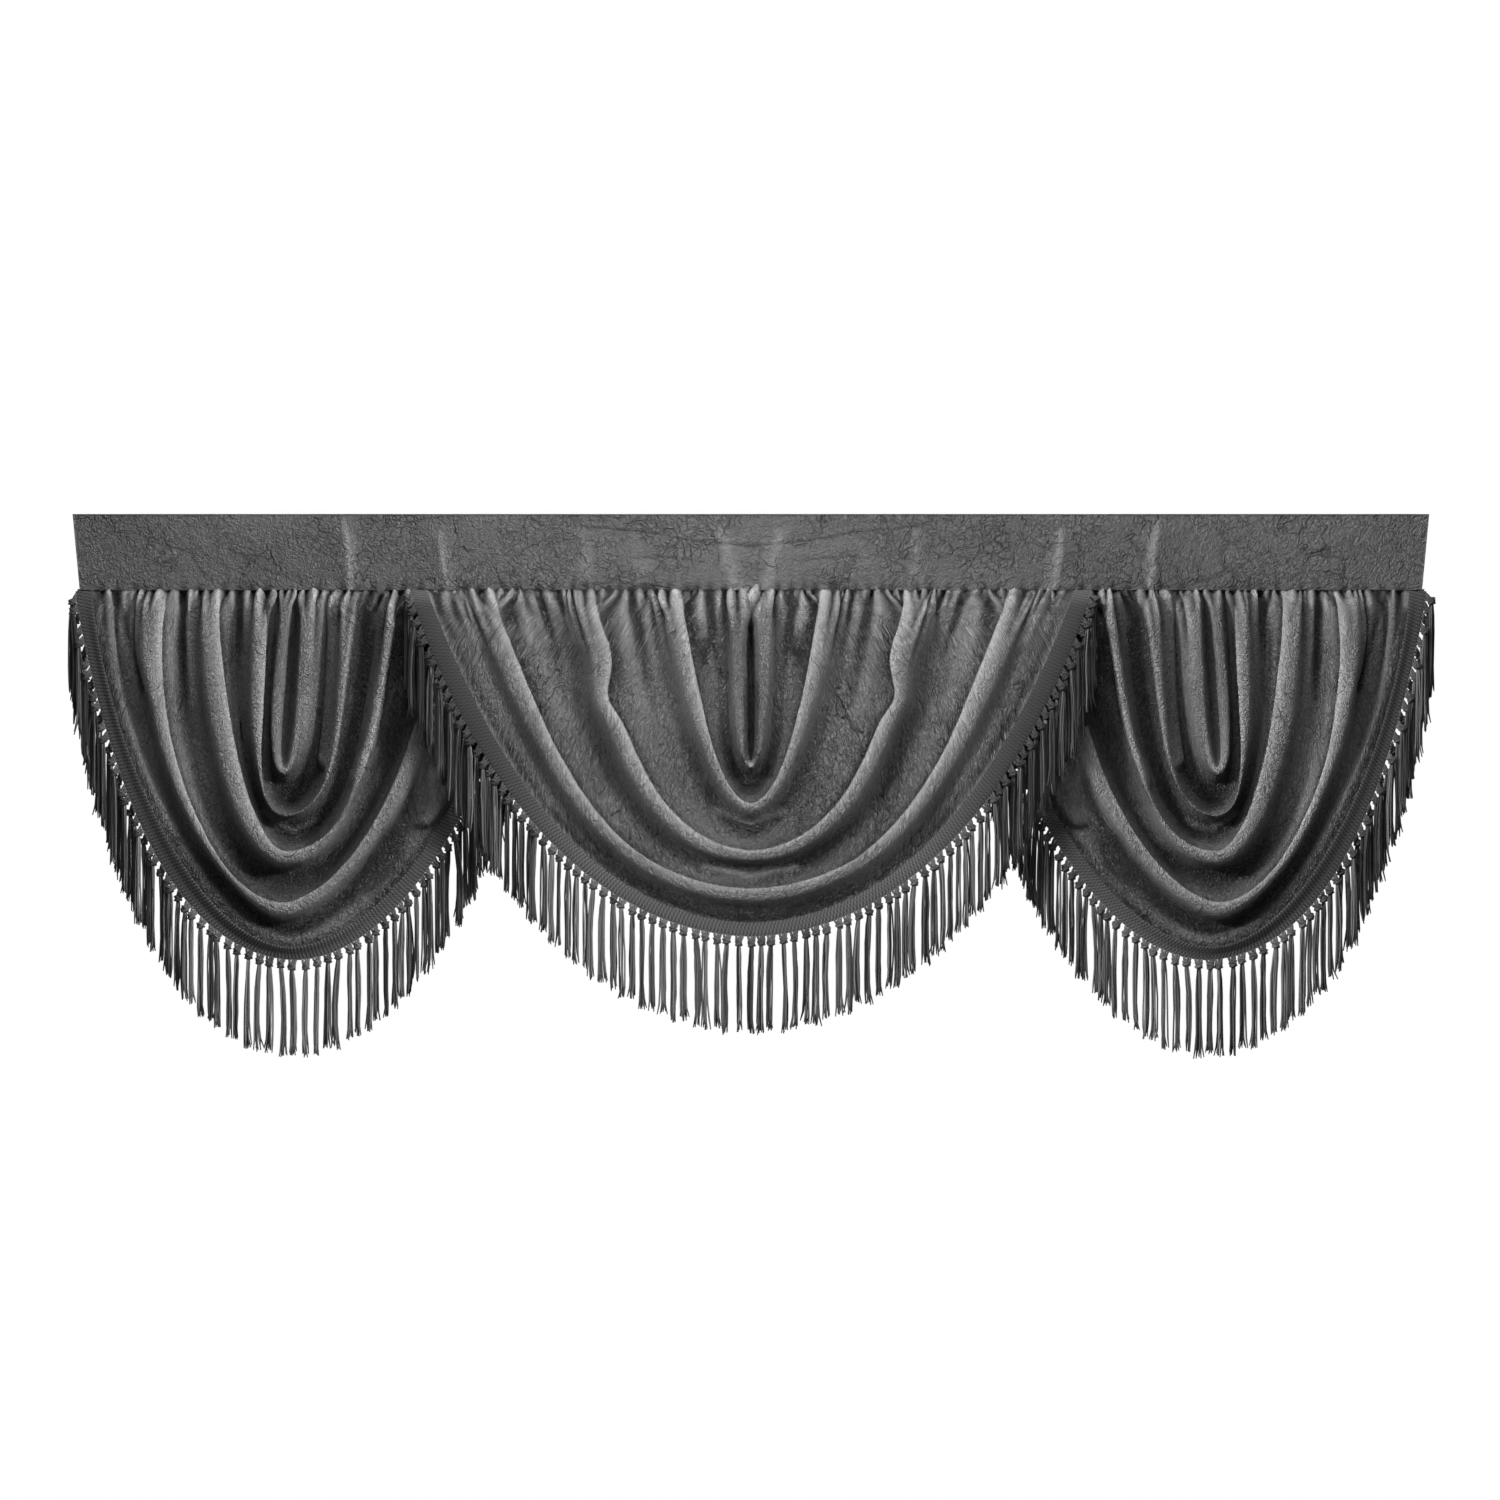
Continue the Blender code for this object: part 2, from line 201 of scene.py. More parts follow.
class Graph:
    """The node graph of one material."""

    def __init__(self, name: str) -> None:
        """Start a material that holds a Principled shader.

        Args:
            name: The material's name.
        """
        self.material = bpy.data.materials.new(name)
        self.material.use_nodes = True
        self.tree = self.material.node_tree
        self.shader = self.tree.nodes["Principled BSDF"]

    def plug(self, socket: bpy.types.NodeSocket, value: Any) -> None:
        """Link or set one input.

        Args:
            socket: The input.
            value: A Socket to link, or a plain value.
        """
        if isinstance(value, Socket):
            self.tree.links.new(value.output, socket)
        else:
            socket.default_value = value

    def node(
        self, kind: str, output: str | int, settings: dict[str, Any], inputs: dict[Any, Any]
    ) -> Socket:
        """Add a node.

        Args:
            kind: The node's type.
            output: The wanted output's name or number.
            settings: What is set on the node first, such as a Math node's operation.
            inputs: Values or links, by the input's name or number.

        Returns:
            The wanted output.
        """
        made = self.tree.nodes.new(kind)
        for key, value in settings.items():
            setattr(made, key, value)
        for key, value in inputs.items():
            self.plug(made.inputs[key], value)
        return Socket(self, made.outputs[output])

    def noise(self, where: Socket, scale: float, detail: float = 2.0, twist: float = 0.0) -> Socket:
        """A soft noise.

        Args:
            where: The coordinates.
            scale: Bumps to a unit of the coordinates.
            detail: How many finer layers it has.
            twist: How much it is distorted.

        Returns:
            Numbers around 0.5.
        """
        sockets = {"Vector": where, "Scale": scale, "Detail": detail, "Distortion": twist}
        return self.node("ShaderNodeTexNoise", "Fac", {}, sockets)

    def pressed(self, where: Socket, scale: float, width: float) -> Socket:
        """Thin straight creases that meet at corners, as in crushed cloth.

        Args:
            where: The coordinates.
            scale: Facets to a unit of the coordinates.
            width: A crease's width as a share of a facet's.

        Returns:
            1 on the creases, and 0 between them.
        """
        sockets = {"Vector": where, "Scale": scale, "Randomness": 1.0}
        settings = {"feature": "DISTANCE_TO_EDGE"}
        away = self.node("ShaderNodeTexVoronoi", "Distance", settings, sockets)
        return (1.0 - away * (1.0 / width)).clamped()

    def shifted(self, where: Socket, scale: float, reach: float) -> Socket:
        """Coordinates that wander a little.

        Args:
            where: The coordinates.
            scale: Bends to a unit of the coordinates.
            reach: How far they wander.

        Returns:
            The coordinates.
        """
        sockets = {"Vector": where, "Scale": scale, "Detail": 2.0}
        wander = self.node("ShaderNodeTexNoise", "Color", {}, sockets)
        return self.node(
            "ShaderNodeVectorMath", "Vector", {"operation": "MULTIPLY_ADD"},
            {0: wander, 1: (reach, reach, 0.0), 2: where},
        )

    def blend(self, factor: Any, first: Any, second: Any) -> Socket:
        """Mix two colours.

        Args:
            factor: The second colour's share.
            first: The first colour.
            second: The second colour.

        Returns:
            The mixed colour.
        """
        settings = {"data_type": "RGBA", "clamp_factor": True}
        return self.node("ShaderNodeMix", 2, settings, {0: factor, 6: first, 7: second})

    def bump(self, height: Socket, distance: float, strength: float) -> Socket:
        """Turn a height into a normal.

        Args:
            height: The height, about 0 to 1.
            distance: What a height of 1 stands for, in metres.
            strength: How much of it is used.

        Returns:
            The normal.
        """
        sockets = {"Height": height, "Distance": distance, "Strength": strength}
        return self.node("ShaderNodeBump", "Normal", {}, sockets)

    def finish(self, sockets: dict[str, Any]) -> bpy.types.Material:
        """Set the shader's inputs.

        Args:
            sockets: Values or links, by the input's name.

        Returns:
            The material.
        """
        for key, value in sockets.items():
            self.plug(self.shader.inputs[key], value)
        return self.material


def grey(level: float) -> tuple[float, float, float, float]:
    """A charcoal of that brightness, a touch cooler than neutral."""
    return (level, level, level * 1.015, 1.0)


@dataclass(frozen=True)
class Satin:
    """Crushed satin: painted light and shade that stand in for how light falls on its folds, soft gloss,
    and a net of pressed creases.

    Scales count bumps or facets to a metre of cloth.
    """

    name: str
    # the colours at the dark and light ends of the painted light
    dark: float
    light: float
    roughness: float
    gloss: float
    grain: float
    crush: float
    crease_shade: float
    patch_scale: float = 22.0
    kept_scale: float = 19.0
    crease_scale: float = 31.0
    web_scale: float = 104.0
    fold_scale: float = 215.0
    hatch_scale: float = 230.0
    fine_scale: float = 520.0
    relief: float = 0.0022

    def material(self) -> bpy.types.Material:
        """Make the material.

        Returns:
            The material, which reads the sheet's own coordinates and its painted light and shade.
        """
        graph = Graph(self.name)
        cloth = graph.node("ShaderNodeUVMap", "UV", {"uv_map": "cloth"}, {})
        painted_light = graph.node("ShaderNodeAttribute", "Fac", {"attribute_name": "painted_light"}, {})
        patches = graph.noise(cloth, self.patch_scale, 2.0, 0.6)
        busy = ((patches - 0.38) * 4.5).clamped()
        kept = ((graph.noise(cloth, self.kept_scale, 2.0) - 0.46) * 6.0).clamped()
        web = graph.pressed(graph.shifted(cloth, 90.0, 0.022), self.web_scale, 0.09) * busy
        long = graph.pressed(graph.shifted(cloth, 45.0, 0.04), self.crease_scale, 0.03) * kept
        creases = long + web * 0.6
        folds = graph.pressed(graph.shifted(cloth, 200.0, 0.01), self.fold_scale, 0.24)
        hatch = graph.noise(cloth, self.hatch_scale, 3.0, 0.25)
        fine = graph.noise(cloth, self.fine_scale, 2.0)
        rough = (hatch - 0.5) * (0.6 + 0.8 * painted_light) + (fine - 0.5) * 0.6 - (folds - 0.3) * 0.4
        height = rough * self.grain - creases
        # the painted light and shade of the folds, plus random tone of the crush
        tone = painted_light + (rough * self.grain * 0.8 + (patches - 0.5) * 0.5) * self.crush
        # painted shade in the pressed creases
        tone = (tone - creases * self.crease_shade) * 0.5
        colour = graph.blend(tone.clamped(), grey(self.dark), grey(self.light))
        return graph.finish({
            "Base Color": colour,
            "Roughness": self.roughness + (patches - 0.5) * 0.25,
            "Metallic": 0.0,
            "Specular IOR Level": self.gloss,
            "Sheen Weight": 0.15,
            "Sheen Roughness": 0.4,
            "Normal": graph.bump(height, self.relief, 1.0),
        })


@dataclass(frozen=True)
class Yarn:
    """Matt rayon yarn of the braid and tassels."""

    name: str
    ground: float
    bright: float
    roughness: float

    def material(self) -> bpy.types.Material:
        """Make the material.

        Returns:
            The material, which reads the attribute "shade": each tassel's own tone, with painted shade on
            steep stretches and in the braid's grooves.
        """
        graph = Graph(self.name)
        place = graph.node("ShaderNodeTexCoord", "Object", {}, {})
        shade = graph.node("ShaderNodeAttribute", "Fac", {"attribute_name": "shade"}, {})
        fuzz = graph.noise(place, 900.0, 2.0)
        colour = graph.blend(shade, grey(self.ground), grey(self.bright))
        colour = graph.blend((fuzz - 0.3) * 0.5, colour, grey(self.ground * 0.5))
        return graph.finish({
            "Base Color": colour,
            "Roughness": self.roughness + (fuzz - 0.5) * 0.2,
            "Specular IOR Level": 0.25,
            "Sheen Weight": 0.05,
            "Normal": graph.bump(fuzz, 0.0003, 0.6),
        })


def new_mesh(name: str, points: np.ndarray, faces: Sequence[np.ndarray]) -> bpy.types.Mesh:
    """Make a smooth mesh of arrays.

    Args:
        name: The mesh's name.
        points: Its points, in millimetres.
        faces: Arrays of faces, where each array has faces with the same number of corners.

    Returns:
        The mesh, in metres.
    """
    mesh = bpy.data.meshes.new(name)
    mesh.vertices.add(len(points))
    mesh.vertices.foreach_set("co", (points * MM).astype(np.float32).ravel())
    corners = np.concatenate([part.ravel() for part in faces]).astype(np.int32)
    sizes = np.concatenate([np.full(len(part), part.shape[1]) for part in faces])
    mesh.loops.add(len(corners))
    mesh.loops.foreach_set("vertex_index", corners)
    mesh.polygons.add(len(sizes))
    mesh.polygons.foreach_set("loop_start", np.concatenate([[0], np.cumsum(sizes)[:-1]]))
    mesh.update(calc_edges=True)
    mesh.shade_smooth()
    return mesh


def add_shade(mesh: bpy.types.Mesh, name: str, values: np.ndarray) -> None:
    """Store one number a point.

    Args:
        mesh: The mesh.
        name: The attribute's name.
        values: The numbers.
    """
    attribute = mesh.attributes.new(name, "FLOAT", "POINT")
    attribute.data.foreach_set("value", values.astype(np.float32))


def add_piece(name: str, mesh: bpy.types.Mesh, material: bpy.types.Material) -> bpy.types.Object:
    """Put a mesh into the scene as a piece of the valance.

    Args:
        name: The piece's name.
        mesh: Its mesh.
        material: Its material.

    Returns:
        The new object.
    """
    mesh.materials.append(material)
    piece = bpy.data.objects.new(name, mesh)
    bpy.context.scene.collection.objects.link(piece)
    return piece


def grid_faces(index: np.ndarray, turned: bool = False) -> np.ndarray:
    """Make four-cornered faces over grids of point numbers.

    Args:
        index: The numbers, whose last two axes are the grids.
        turned: Whether the faces go round the other way.

    Returns:
        The faces.
    """
    parts = (index[..., :-1, :-1], index[..., 1:, :-1], index[..., 1:, 1:], index[..., :-1, 1:])
    faces = np.stack([part.ravel() for part in parts], axis=1)
    return faces[:, (0, 3, 2, 1)] if turned else faces


def closed(index: np.ndarray, axis: int) -> np.ndarray:
    """Repeat the first row of an axis at its end, so that faces close the ring."""
    return np.concatenate([index, np.take(index, [0], axis=axis)], axis=axis)


def outward(points: np.ndarray) -> np.ndarray:
    """Work out which way the front of a grid of cloth faces.

    Args:
        points: The grid, as rows, columns and places.

    Returns:
        A unit vector for each point.
    """
    along = np.gradient(points, axis=1)
    down = np.gradient(points, axis=0)
    normals = unit(np.cross(along, down))
    return normals if normals[..., 1].mean() < 0 else -normals


@dataclass
class Sheet:
    """A grid of cloth that becomes one closed thin mesh."""

    points: np.ndarray
    thickness: float
    # painted light and shade of each point, from 0 dark to 1 light
    painted_light: np.ndarray
    folded_start: bool = False

    def coordinates(self) -> np.ndarray:
        """The way along and across the cloth of each point, in metres."""
        steps = np.linalg.norm(np.diff(self.points, axis=1), axis=-1)
        along = np.pad(np.cumsum(steps, axis=1), ((0, 0), (1, 0)))
        along -= along[:, along.shape[1] // 2, None]
        steps = np.linalg.norm(np.diff(self.points, axis=0), axis=-1)
        across = np.pad(np.cumsum(steps, axis=0), ((1, 0), (0, 0)))
        return np.stack([along, across], axis=-1) * MM

    def mesh(self, name: str) -> bpy.types.Mesh:
        """Make the mesh, with its front, its back and its cut edges.

        Args:
            name: The mesh's name.

        Returns:
            The mesh, with the layer "cloth" and the attribute "painted_light", which holds painted light
            and shade.
        """
        rows, columns = self.points.shape[:2]
        count = rows * columns
        index = np.arange(count).reshape(rows, columns)
        normals = outward(self.points)
        if self.folded_start:
            normals[0] = unit(normals[0] + normals[0, ::-1])
        front = grid_faces(index)
        rim = [index[:, 0], index[-1, 1:], index[-2::-1, -1]]
        if not self.folded_start:
            rim.append(index[0, -2::-1])
        path = np.concatenate(rim)
        sides = np.stack([path[:-1], path[:-1] + count, path[1:] + count, path[1:]], axis=1)
        faces = np.concatenate([front, front[:, ::-1] + count, sides[:, ::-1]])
        corner = self.points.reshape(-1, 3)[front[len(front) // 2]]
        facing = np.cross(corner[1] - corner[0], corner[2] - corner[0])
        if facing @ normals.reshape(-1, 3)[front[len(front) // 2, 0]] < 0:
            faces = faces[:, ::-1]
        half = normals * self.thickness / 2
        points = np.concatenate([(self.points + half).reshape(-1, 3),
                                 (self.points - half).reshape(-1, 3)])
        place = np.tile(self.coordinates().reshape(-1, 2), (2, 1))[faces.ravel()]
        painted_light = np.tile(self.painted_light.ravel(), 2)
        if self.folded_start:
            faces, points, painted_light = self.close_fold(faces, points, painted_light, index, count)
        mesh = new_mesh(name, points, [faces])
        layer = mesh.uv_layers.new(name="cloth")
        layer.data.foreach_set("uv", place.astype(np.float32).ravel())
        add_shade(mesh, "painted_light", painted_light)
        return mesh

    @staticmethod
    def close_fold(
        faces: np.ndarray, points: np.ndarray, painted_light: np.ndarray, index: np.ndarray, count: int
    ) -> tuple[np.ndarray, np.ndarray, np.ndarray]:
        """Join the two halves of the first row, which lie on each other.

        Args:
            faces: The faces.
            points: The points.
            painted_light: The painted light and shade of each point.
            index: The grid of point numbers of the front.
            count: How many points the front has.

        Returns:
            The faces, points and painted light without the second copies.
        """
        half = index.shape[1] // 2
        kept = np.arange(len(points))
        kept[index[0, half + 1:]] = index[0, half - 1::-1][:half]
        kept[index[0, half + 1:] + count] = index[0, half - 1::-1][:half] + count
        used, faces = np.unique(kept[faces], return_inverse=True)
        return faces.reshape(-1, 4), points[used], painted_light[used]


@dataclass(frozen=True)
class Fall:
    """How the cloth falls away beside a fold line.

    It holds how long the cloth keeps the line's depth, how slowly the painted light fades, how far
    the cloth tucks under the line, the share of the painted light that is left just past the line,
    which paints a shade step there, and how deep the lap beside the line is, which sets how far
    its body swells and how strong its painted shadow and painted highlight are.
    """

    hold: float
    fade: float
    tuck: float = 0.0
    kept: float = 1.0
    lap: float = 0.0


class Turn(Enum):
    """The ways in which this cloth falls away beside a fold line."""

    BROAD = Fall(1.6, 3.0)
    ROUND = Fall(1.0, 1.6)
    SLOPE = Fall(1.2, 1.5)
    DEEP = Fall(0.28, 0.32)
    CRISP = Fall(0.7, 1.2, 0.35, 0.65, 0.7)
    LAPPED = Fall(0.62, 1.2, 0.6, 0.5, 1.0)


@dataclass(frozen=True)
class Bend:
    """A short sideways shift of a limb."""

    place: float
    reach: float
    shift: float


@dataclass(frozen=True)
class Limb:
    """One side of a fold line, from the seam down to its low point."""

    seam: float
    lean: float
    drop: float
    sweep: float
    stand: float
    # how light the cloth is painted at this limb: painted light on crests, painted shade in valleys
    painted_light: float
    inner: Turn = Turn.ROUND
    outer: Turn = Turn.ROUND
    bends: tuple[Bend, ...] = ()

    def mirrored(self) -> "Limb":
        """The same limb on the other side of the swag's centre."""
        bends = tuple(replace(bend, shift=-bend.shift) for bend in self.bends)
        return replace(self, seam=-self.seam, lean=-self.lean, bends=bends)


@dataclass(frozen=True)
class Low:
    """The low point of a fold line."""

    x: float
    z: float
    stand: float
    # how light the cloth is painted at the low point: painted light on crests, painted shade in valleys
    painted_light: float
    inner: Turn = Turn.ROUND
    outer: Turn = Turn.ROUND


@dataclass(frozen=True)
class Line:
    """A crest or a valley: two limbs that meet at a low point."""

    name: str
    left: Limb
    low: Low
    right: Limb


@dataclass(frozen=True)
class Tuck:
    """A small gather under the seam: its place there, its depth and how far down it runs."""

    seam: float
    depth: float
    length: float
    width: float = 3.2
    slant: float = 0.0


@dataclass(frozen=True)
class Crease:
    """A soft ridge, or a trough where its rise is below 0, on a route of points X and Z."""

    route: tuple[tuple[float, float], ...]
    width: float
    rise: float
    painted_light: float = 0.0

    def mirrored(self) -> "Crease":
        """The same crease on the other side of X 0."""
        return replace(self, route=tuple((-x, z) for x, z in self.route))

    def strength(self, x: np.ndarray, z: np.ndarray) -> np.ndarray:
        """Work out how much of the crease is felt at each point.

        Args:
            x: Places across the swag.
            z: Places down it.

        Returns:
            Numbers from 0 away from the crease to 1 on its middle.
        """
        nearest = np.full(x.shape, np.inf)
        for (x0, z0), (x1, z1) in zip(self.route, self.route[1:]):
            dx, dz = x1 - x0, z1 - z0
            share = np.clip(((x - x0) * dx + (z - z0) * dz) / (dx * dx + dz * dz), 0.0, 1.0)
            away = np.hypot(x - x0 - share * dx, z - z0 - share * dz)
            nearest = np.minimum(nearest, away)
        ends = [np.hypot(x - px, z - pz) for px, pz in (self.route[0], self.route[-1])]
        fade = smooth(np.minimum(*ends) / (3.0 * self.width))
        return hump(nearest / self.width) * fade


@dataclass
class Swag:
    """One gathered swag."""

    name: str
    lines: tuple[Line, ...]
    centre: float
    seam_stand: float
    tucks: tuple[Tuck, ...]
    creases: tuple[Crease, ...]
    flat: tuple[float, float]
    area: float
    seed: int
    rests_on: tuple[str, ...] = ("heading_band",)
    thickness: float = 1.2
    row_pitch: float = 2.0
    fewest_rows: int = 9
    limb_columns: int = 150
    stitched: float = 3.0
    puff: float = 15.0
    roll: float = 0.45
    crush: float = 0.55
    crush_size: float = 17.0
    # how wide and how strong the painted shadow beside a lap and the painted highlight along its edge are
    lap: float = 0.15
    lap_reach: tuple[float, float] = (3.0, 8.0)
    lap_shade: float = 0.85
    gleam: float = 0.55
    swell: float = 5.5
    swell_share: float = 0.13
    swell_at: float = 0.24
    # where along the last span the painted shadow at the braid's inner edge lies
    groove_at: float = 0.12
    pucker_pitch: float = 8.8
    # painted shade in the gathers' troughs, in the seam and along the braid's inner edge
    tuck_painted_light: float = 0.2
    seam_shade: float = 0.5
    groove_shade: float = 0.3
    points: np.ndarray = field(init=False, repr=False)

    def track(self, limb: Limb, low: Low, t: np.ndarray, side: int) -> np.ndarray:
        """Follow one limb.

        Args:
            limb: The limb.
            low: Its line's low point.
            t: Places from 0 at the seam to 1 at the low point.
            side: -1 for a left limb, 1 for a right one.

        Returns:
            Points, with how far the cloth stands forward as -Y.
        """
        s = 1.0 - t
        handles = (
            (limb.seam, SEAM_Z),
            (limb.seam + limb.lean, SEAM_Z - limb.drop),
            (low.x + side * limb.sweep, low.z + LOW_POINT_RISE),
            (low.x, low.z),
        )
        shares = (s ** 3, 3 * s * s * t, 3 * s * t * t, t ** 3)
        x, z = (sum(share * handle[i] for share, handle in zip(shares, handles)) for i in (0, 1))
        for bend in limb.bends:
            x = x + bend.shift * hump((t - bend.place) / bend.reach)
        belly = belly_share(t)
        body = limb.stand + (low.stand - limb.stand) * belly
        below = np.maximum(SEAM_Z - z - self.stitched, 0.0)
        stand = self.seam_stand + (body - self.seam_stand) * (1.0 - np.exp(-below / self.puff))
        return np.stack([x + self.centre, -stand, z], axis=-1)

    def tracks(self, w: np.ndarray) -> np.ndarray:
        """Follow all fold lines.

        Args:
            w: Places from -1 at the left end of the seam to 1 at its right end.

        Returns:
            Points for each line and place.
        """
        t = 1.0 - np.abs(w)
        left = w < 0
        found = np.empty((len(self.lines), len(w), 3))
        for row, line in zip(found, self.lines):
            row[left] = self.track(line.left, line.low, t[left], -1)
            row[~left] = self.track(line.right, line.low, t[~left], 1)
        return found

    def turns(self, w: np.ndarray, side: str, part: str) -> np.ndarray:
        """Read how the cloth turns beside each line.

        Args:
            w: Places along the lines.
            side: "inner" or "outer".
            part: The field of Fall that is wanted.

        Returns:
            A number for each line and place.
        """
        belly = belly_share(1.0 - np.abs(w))
        rows = []
        for line in self.lines:
            places = (line.left, line.low, line.right)
            left, low, right = (getattr(getattr(at, side).value, part) for at in places)
            rows.append(np.where(w < 0, left, right) * (1 - belly) + low * belly)
        return np.array(rows)

    def surface(self, v: np.ndarray, w: np.ndarray) -> np.ndarray:
        """The cloth's middle surface without its small creases.

        Args:
            v: Places across, in lines from the slit.
            w: Places along the lines.

        Returns:
            Points for each v and w.
        """
        lines = self.tracks(w)
        span = np.minimum(v.astype(int), len(self.lines) - 2)
        s = (v - span)[:, None]
        a, b = lines[span], lines[span + 1]
        free = smooth((SEAM_Z - a[..., 2]) / FREE_BELOW)
        rise_a = s ** (2.0 * self.turns(w, "outer", "hold")[span])
        rise_b = (1.0 - s) ** (2.0 * self.turns(w, "inner", "hold")[span + 1])
        points = a + (b - a) * self.across(v, w, free)[..., None]
        points[..., 1] = a[..., 1] + (b[..., 1] - a[..., 1]) * rise_a / (rise_a + rise_b)
        width = np.linalg.norm((b - a)[..., (0, 2)], axis=-1)
        edges = (("inner", "outer", span, s), ("outer", "inner", span + 1, 1.0 - s))
        for behind, facing, line, share in edges:
            lap = self.turns(w, behind, "lap")[line] * (1.0 - self.turns(w, facing, "lap")[line])
            points[..., 1] -= lap * free * self.body(share, width)
        return points

    def across(self, v: np.ndarray, w: np.ndarray, free: np.ndarray) -> np.ndarray:
        """Share of the way from one line to the next at which the cloth lies.

        Args:
            v: Places across, in lines from the slit.
            w: Places along the lines.
            free: How free of the seam the cloth is, from 0 to 1.

        Returns:
            The shares, which leave 0 to 1 where the cloth tucks under a fold.
        """
        span = np.minimum(v.astype(int), len(self.lines) - 2)
        s = (v - span)[:, None]
        hook_a, hook_b = (HOOK_SCALE * share ** 2 * (1 - share) ** 4 for share in (s, 1 - s))
        tuck_a = self.turns(w, "outer", "tuck")[span] * free
        tuck_b = self.turns(w, "inner", "tuck")[span + 1] * free
        across = s + self.roll * np.sin(2 * np.pi * s) / (2 * np.pi)
        return across - tuck_a * hook_a + tuck_b * hook_b

    def body(self, share: np.ndarray, width: np.ndarray) -> np.ndarray:
        """How far a fold's body swells forward behind its edge.

        Args:
            share: Places from the edge, 0, to the next line, 1.
            width: The way between the two lines.

        Returns:
            The swell, in millimetres.
        """
        size = np.minimum(self.swell, self.swell_share * width)
        return size * share / self.swell_at * np.exp(1.0 - share / self.swell_at) * (1.0 - share)

    def painted_light(self, v: np.ndarray, w: np.ndarray) -> np.ndarray:
        """How light the cloth is painted, from the lines' own values: painted light on crests and edges,
        painted shade in valleys and beside laps.

        Args:
            v: Places across, in lines from the slit.
            w: Places along the lines.

        Returns:
            Numbers from 0, dark, to 1, light.
        """
        belly = belly_share(1.0 - np.abs(w))
        rows = np.array([
            np.where(w < 0, line.left.painted_light, line.right.painted_light) * (1 - belly) + line.low.painted_light * belly
            for line in self.lines
        ])
        span = np.minimum(v.astype(int), len(self.lines) - 2)
        s = (v - span)[:, None]
        share_a = s ** self.turns(w, "outer", "fade")[span]
        share_b = (1.0 - s) ** self.turns(w, "inner", "fade")[span + 1]
        start = rows[span] * self.turns(w, "outer", "kept")[span]
        end = rows[span + 1] * self.turns(w, "inner", "kept")[span + 1]
        tone = start + (end - start) * share_a / (share_a + share_b)
        lines = self.tracks(w)[..., (0, 2)]
        width = np.linalg.norm(lines[span + 1] - lines[span], axis=-1)
        across = self.across(v, w, smooth((SEAM_Z - lines[span, :, 1]) / FREE_BELOW))
        # a painted shadow just past a crisp or lapped line, where the fold overhangs, and a painted
        # highlight along its edge
        for away, line, facing, behind in (
            (np.maximum(across, 0.0) * width, span, "outer", "inner"),
            (np.maximum(1.0 - across, 0.0) * width, span + 1, "inner", "outer"),
        ):
            reach = np.clip(self.lap * width, *self.lap_reach)
            shadow = self.turns(w, facing, "lap")[line] * hump(away / reach)
            gleam = self.turns(w, behind, "lap")[line] * hump(1.3 * away / reach)
            tone = tone * (1.0 - self.lap_shade * shadow) + self.gleam * gleam * (1.0 - shadow)
        return tone

    def rows(self) -> np.ndarray:
        """Places across the sheet, as close together as the spans between its lines need."""
        steps = [np.zeros(1)]
        for number, (line, after) in enumerate(zip(self.lines, self.lines[1:])):
            widths = (after.left.seam - line.left.seam, after.right.seam - line.right.seam)
            count = max(self.fewest_rows, round(np.abs(widths).mean() / self.row_pitch))
            steps.append(number + np.arange(1, count + 1) / count)
        return np.concatenate(steps)

    def gathers(self) -> tuple[Tuck, ...]:
        """The short puckers all along the seam, uneven as gathering leaves them."""
        rng = np.random.default_rng(self.seed)
        first, last = self.lines[-1].left.seam + 4.0, self.lines[-1].right.seam - 4.0
        places = np.arange(first, last, self.pucker_pitch)
        places = places + rng.uniform(-0.35, 0.35, len(places)) * self.pucker_pitch
        depths, lengths = rng.uniform(2.5, 8.0, len(places)), rng.uniform(9.0, 30.0, len(places))
        widths, slants = rng.uniform(2.0, 3.8, len(places)), rng.uniform(-0.3, 0.3, len(places))
        return tuple(Tuck(*row) for row in zip(places, depths, lengths, widths, slants))

    def seam_places(self, v: np.ndarray, w: np.ndarray) -> np.ndarray:
        """Where on the seam the cloth at each place of the grid is sewn."""
        numbers = np.arange(len(self.lines))
        left = np.interp(v, numbers, [line.left.seam for line in self.lines])
        right = np.interp(v, numbers, [line.right.seam for line in self.lines])
        return np.where(w[None, :] < 0, left[:, None], right[:, None])

    def small_creases(
        self, points: np.ndarray, v: np.ndarray, w: np.ndarray
    ) -> tuple[np.ndarray, np.ndarray]:
        """What gathers, creases and crush add at each point of the grid.

        Args:
            points: The cloth's middle surface.
            v: Places across, in lines from the slit.
            w: Places along the lines.

        Returns:
            The lift along the cloth's front, in millimetres, and the change of the painted light.
        """
        x, z = points[..., 0] - self.centre, points[..., 2]
        below = SEAM_Z - z
        seam = self.seam_places(v, w)
        lift, painted_light = np.zeros(x.shape), np.zeros(x.shape)
        for tuck in self.tucks + self.gathers():
            across = (seam - tuck.seam - tuck.slant * below) / tuck.width
            fade = hump(below / tuck.length)
            pinch = hump(across) * fade
            side = hump(np.abs(across) - 1.9) * fade
            lift += tuck.depth * (0.45 * side - pinch)
            # painted shade in each gather's trough, painted light on its sides
            painted_light += self.tuck_painted_light * tuck.depth * (0.4 * side - pinch)
        for crease in self.creases:
            strength = crease.strength(x, z)
            lift += crease.rise * strength
